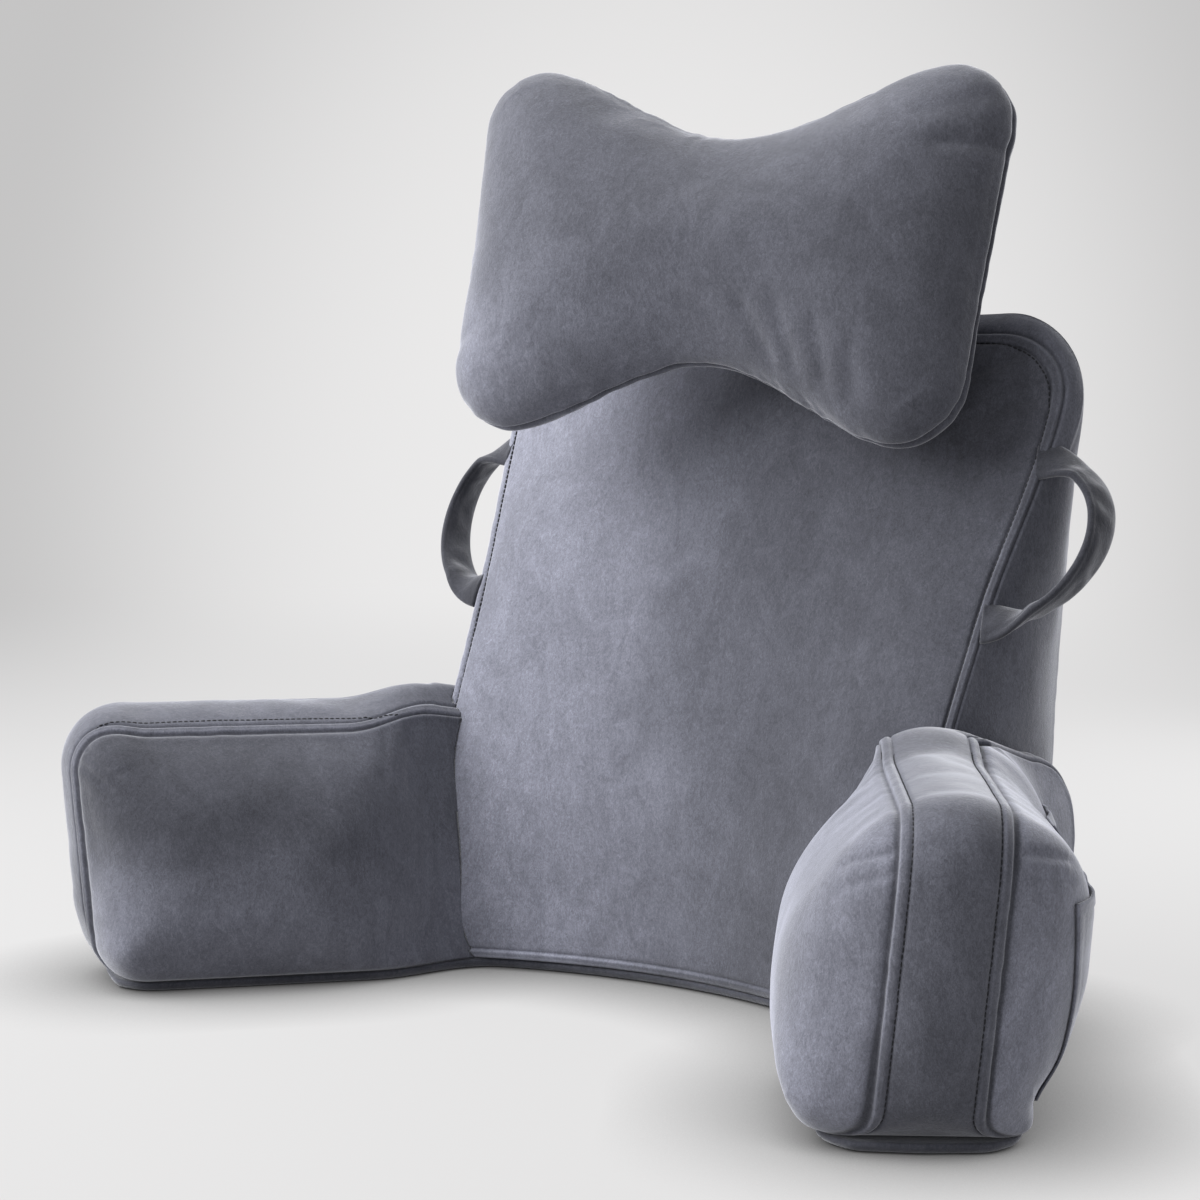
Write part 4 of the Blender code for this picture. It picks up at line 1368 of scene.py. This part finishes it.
def make_camera():
    """The photograph's camera."""
    azimuth, elevation = CAMERA_AZIMUTH, CAMERA_ELEVATION
    back = Vector((math.sin(azimuth) * math.cos(elevation), -math.cos(azimuth) * math.cos(elevation),
                   math.sin(elevation)))
    right = Vector((math.cos(azimuth), math.sin(azimuth), 0.0))
    pose = Matrix((right, back.cross(right), back)).transposed().to_4x4()
    pose.translation = Vector(CAMERA_TARGET) + back * CAMERA_DISTANCE
    camera = add_object("camera", bpy.data.cameras.new("camera"))
    camera.data.sensor_width = CAMERA_SENSOR
    camera.data.lens = CAMERA_LENS
    camera.matrix_world = pose
    bpy.context.scene.camera = camera
    return right, back


# The backdrop's glow: its brightness in the middle and far from it, and how far it reaches
GLOW_BRIGHT = 0.835
GLOW_DIM = 0.560
GLOW_MIDDLE = (0.022, 0.010)
GLOW_REACH = (0.228, 0.330)
GLOW_END = 1.3
GLOW_TINT = (1.000, 0.992, 0.992)
FILL_COLOUR = (0.97, 0.98, 1.0, 1.0)
FILL_STRENGTH = 0.42
# The floor lies a little under the object. Its own glow is dimmed near the object, as a contact shadow
FLOOR_Z = -0.0004
FLOOR_RADIUS = 40.0
FLOOR_SIDES = 96
FLOOR_FADE = (0.9, 4.2)
FLOOR_GLOW = 0.66
FLOOR_SURFACE = {
    "Base Color": (0.085, 0.085, 0.085, 1.0), "Roughness": 0.7, "Specular IOR Level": 0.0,
    "Emission Color": (*GLOW_TINT, 1.0),
}
CONTACT_REACH = 0.12
CONTACT_DEPTH = 1.30
# Where the lights point, and each one's place from there: to the right, toward the camera and up, in the
# photograph's view. Then its size and power
LIT_PLACE = (0.0, 0.0, 0.35)
LIGHTS = {
    "key": (-1.95, 0.10, 1.25, 2.6, 118.0),
    "top": (-0.3, -0.3, 2.0, 1.6, 14.0),
    "rim": (1.35, -1.1, 0.55, 1.4, 24.0),
}


def backdrop_glow(nodes, links, direction, right, up):
    """The backdrop's colour along a direction: light in the middle of the set, dimmer away from it."""
    squares = []
    for axis, middle, reach in zip((right, up), GLOW_MIDDLE, GLOW_REACH):
        along = vector_node(nodes, links, "DOT_PRODUCT", direction)
        along.inputs[1].default_value = axis
        offset = math_node(nodes, links, "SUBTRACT", along.outputs["Value"], middle)
        offset = math_node(nodes, links, "DIVIDE", offset, reach)
        squares.append(math_node(nodes, links, "MULTIPLY", offset, offset))
    far = math_node(nodes, links, "ADD", *squares)
    colour = nodes.new("ShaderNodeVectorMath")
    colour.operation = "SCALE"
    colour.inputs[0].default_value = GLOW_TINT
    links.new(spread(nodes, links, far, 0.0, GLOW_END, GLOW_BRIGHT, GLOW_DIM), colour.inputs["Scale"])
    return colour.outputs["Vector"]


def make_floor(right, back):
    """A pale floor that takes soft shadows and fades into the backdrop's glow with distance."""
    mesh = bpy.data.meshes.new("floor")
    work = bmesh.new()
    bmesh.ops.create_circle(work, cap_ends=True, segments=FLOOR_SIDES, radius=FLOOR_RADIUS)
    work.to_mesh(mesh)
    work.free()
    floor = add_object("floor", mesh)
    floor.location.z = FLOOR_Z
    material, nodes, links, surface = new_material("floor", FLOOR_SURFACE)
    contact = nodes.new("ShaderNodeAmbientOcclusion")
    contact.inputs["Distance"].default_value = CONTACT_REACH
    contact.samples = 8
    depth = math_node(nodes, links, "POWER", contact.outputs["AO"], CONTACT_DEPTH)
    links.new(math_node(nodes, links, "MULTIPLY", depth, FLOOR_GLOW), surface.inputs["Emission Strength"])
    place = nodes.new("ShaderNodeTexCoord").outputs["Object"]
    reach = vector_node(nodes, links, "LENGTH", place)
    fade = spread(nodes, links, reach.outputs["Value"], *FLOOR_FADE, 0.0, 1.0)
    away = vector_node(nodes, links, "SUBTRACT", place)
    away.inputs[1].default_value = Vector(CAMERA_TARGET) + back * CAMERA_DISTANCE
    direction = vector_node(nodes, links, "NORMALIZE", away.outputs["Vector"])
    glow = nodes.new("ShaderNodeEmission")
    up = back.cross(right)
    links.new(backdrop_glow(nodes, links, direction.outputs["Vector"], right, up), glow.inputs["Color"])
    mix = nodes.new("ShaderNodeMixShader")
    links.new(fade, mix.inputs["Fac"])
    links.new(surface.outputs["BSDF"], mix.inputs[1])
    links.new(glow.outputs["Emission"], mix.inputs[2])
    links.new(mix.outputs["Shader"], nodes["Material Output"].inputs["Surface"])
    mesh.materials.append(material)


def make_world(right, back):
    """The backdrop's glow where it is seen, and an even dim fill where it lights the object."""
    world = bpy.data.worlds.new("studio")
    bpy.context.scene.world = world
    world.use_nodes = True
    nodes, links = world.node_tree.nodes, world.node_tree.links
    fill = nodes["Background"]
    set_inputs(fill, {"Color": FILL_COLOUR, "Strength": FILL_STRENGTH})
    place = nodes.new("ShaderNodeTexCoord")
    seen = nodes.new("ShaderNodeBackground")
    up = back.cross(right)
    links.new(backdrop_glow(nodes, links, place.outputs["Generated"], right, up), seen.inputs["Color"])
    path = nodes.new("ShaderNodeLightPath")
    mix = nodes.new("ShaderNodeMixShader")
    links.new(path.outputs["Is Camera Ray"], mix.inputs["Fac"])
    links.new(fill.outputs["Background"], mix.inputs[1])
    links.new(seen.outputs["Background"], mix.inputs[2])
    links.new(mix.outputs["Shader"], nodes["World Output"].inputs["Surface"])


def light_the_stage(right, back):
    """A large soft key from the left, a softer light from above, and one from behind on the right."""
    target = Vector(LIT_PLACE)
    for name, (rightward, nearer, higher, size, power) in LIGHTS.items():
        light = bpy.data.lights.new(name, "AREA")
        light.shape = "DISK"
        light.size = size
        light.energy = power
        lamp = add_object(name, light)
        lamp.location = target + right * rightward + back * nearer + Vector((0.0, 0.0, higher))
        lamp.rotation_euler = (target - lamp.location).to_track_quat("-Z", "Y").to_euler()


bpy.context.scene.view_settings.view_transform = "Standard"
right_way, back_way = make_camera()
make_floor(right_way, back_way)
make_world(right_way, back_way)
light_the_stage(right_way, back_way)

cloth = velour("velour")
# Painted shade: the base panel's velour is darker, for the shade where it curves under
shaded_base_cloth = velour("velour_base_painted_shade", 0.80)
cloth_band = velour("velour_band", 0.42)
dark_thread = thread("stitching")


def dress(piece, material, *nodes):
    piece.data.materials.clear()
    piece.data.materials.append(material)
    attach(piece, "root")
    if nodes:
        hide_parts(*nodes)


back_piece, back_pad = make_back()
dress(back_piece, cloth, "back")
back_tree = surface_tree(back_piece)

# The back, grown by the clearance, is cut out of the arms
cutter = add_object("cutter", back_piece.data.copy())
set_positions(cutter.data, positions(cutter.data) + normals_of(cutter.data) * CLEARANCE)

arm_pads = {}
settled = None
for arm_name, arm_side in (("right", 1), ("left", -1)):
    arm_piece, arm_pad, settled = make_arm(f"arm_{arm_name}_pad", arm_side, settled)
    arm_pads[arm_name] = (arm_piece, arm_pad)
    fit = arm_piece.modifiers.new("fit", "BOOLEAN")
    fit.operation = "DIFFERENCE"
    fit.solver = "MANIFOLD"
    fit.object = cutter
    apply_modifier(arm_piece, fit)
    arm_piece.data.shade_smooth()
    dress(arm_piece, cloth, f"arm_{arm_name}")
bpy.data.objects.remove(cutter)

base_piece = make_base()
dress(base_piece, shaded_base_cloth, "base_panel")

neck_piece = make_neck_pillow()
dress(neck_piece, cloth, "neck_pillow")

for handle_name, handle_side in (("right", 1), ("left", -1)):
    handle_piece = make_handle(f"handle_{handle_name}_band", handle_side)
    dress(handle_piece, cloth_band, f"handle_{handle_name}")

arm_tree = surface_tree(arm_pads["right"][0])
for pocket_row in POCKETS:
    pocket_piece = make_pocket(pocket_row, arm_tree)
    dress(pocket_piece, cloth, pocket_row["name"])

dress(stitch_back(back_pad, back_tree), dark_thread)
for arm_name, arm_side in (("right", 1), ("left", -1)):
    dress(stitch_arm(arm_name, arm_side, *arm_pads[arm_name]), dark_thread)
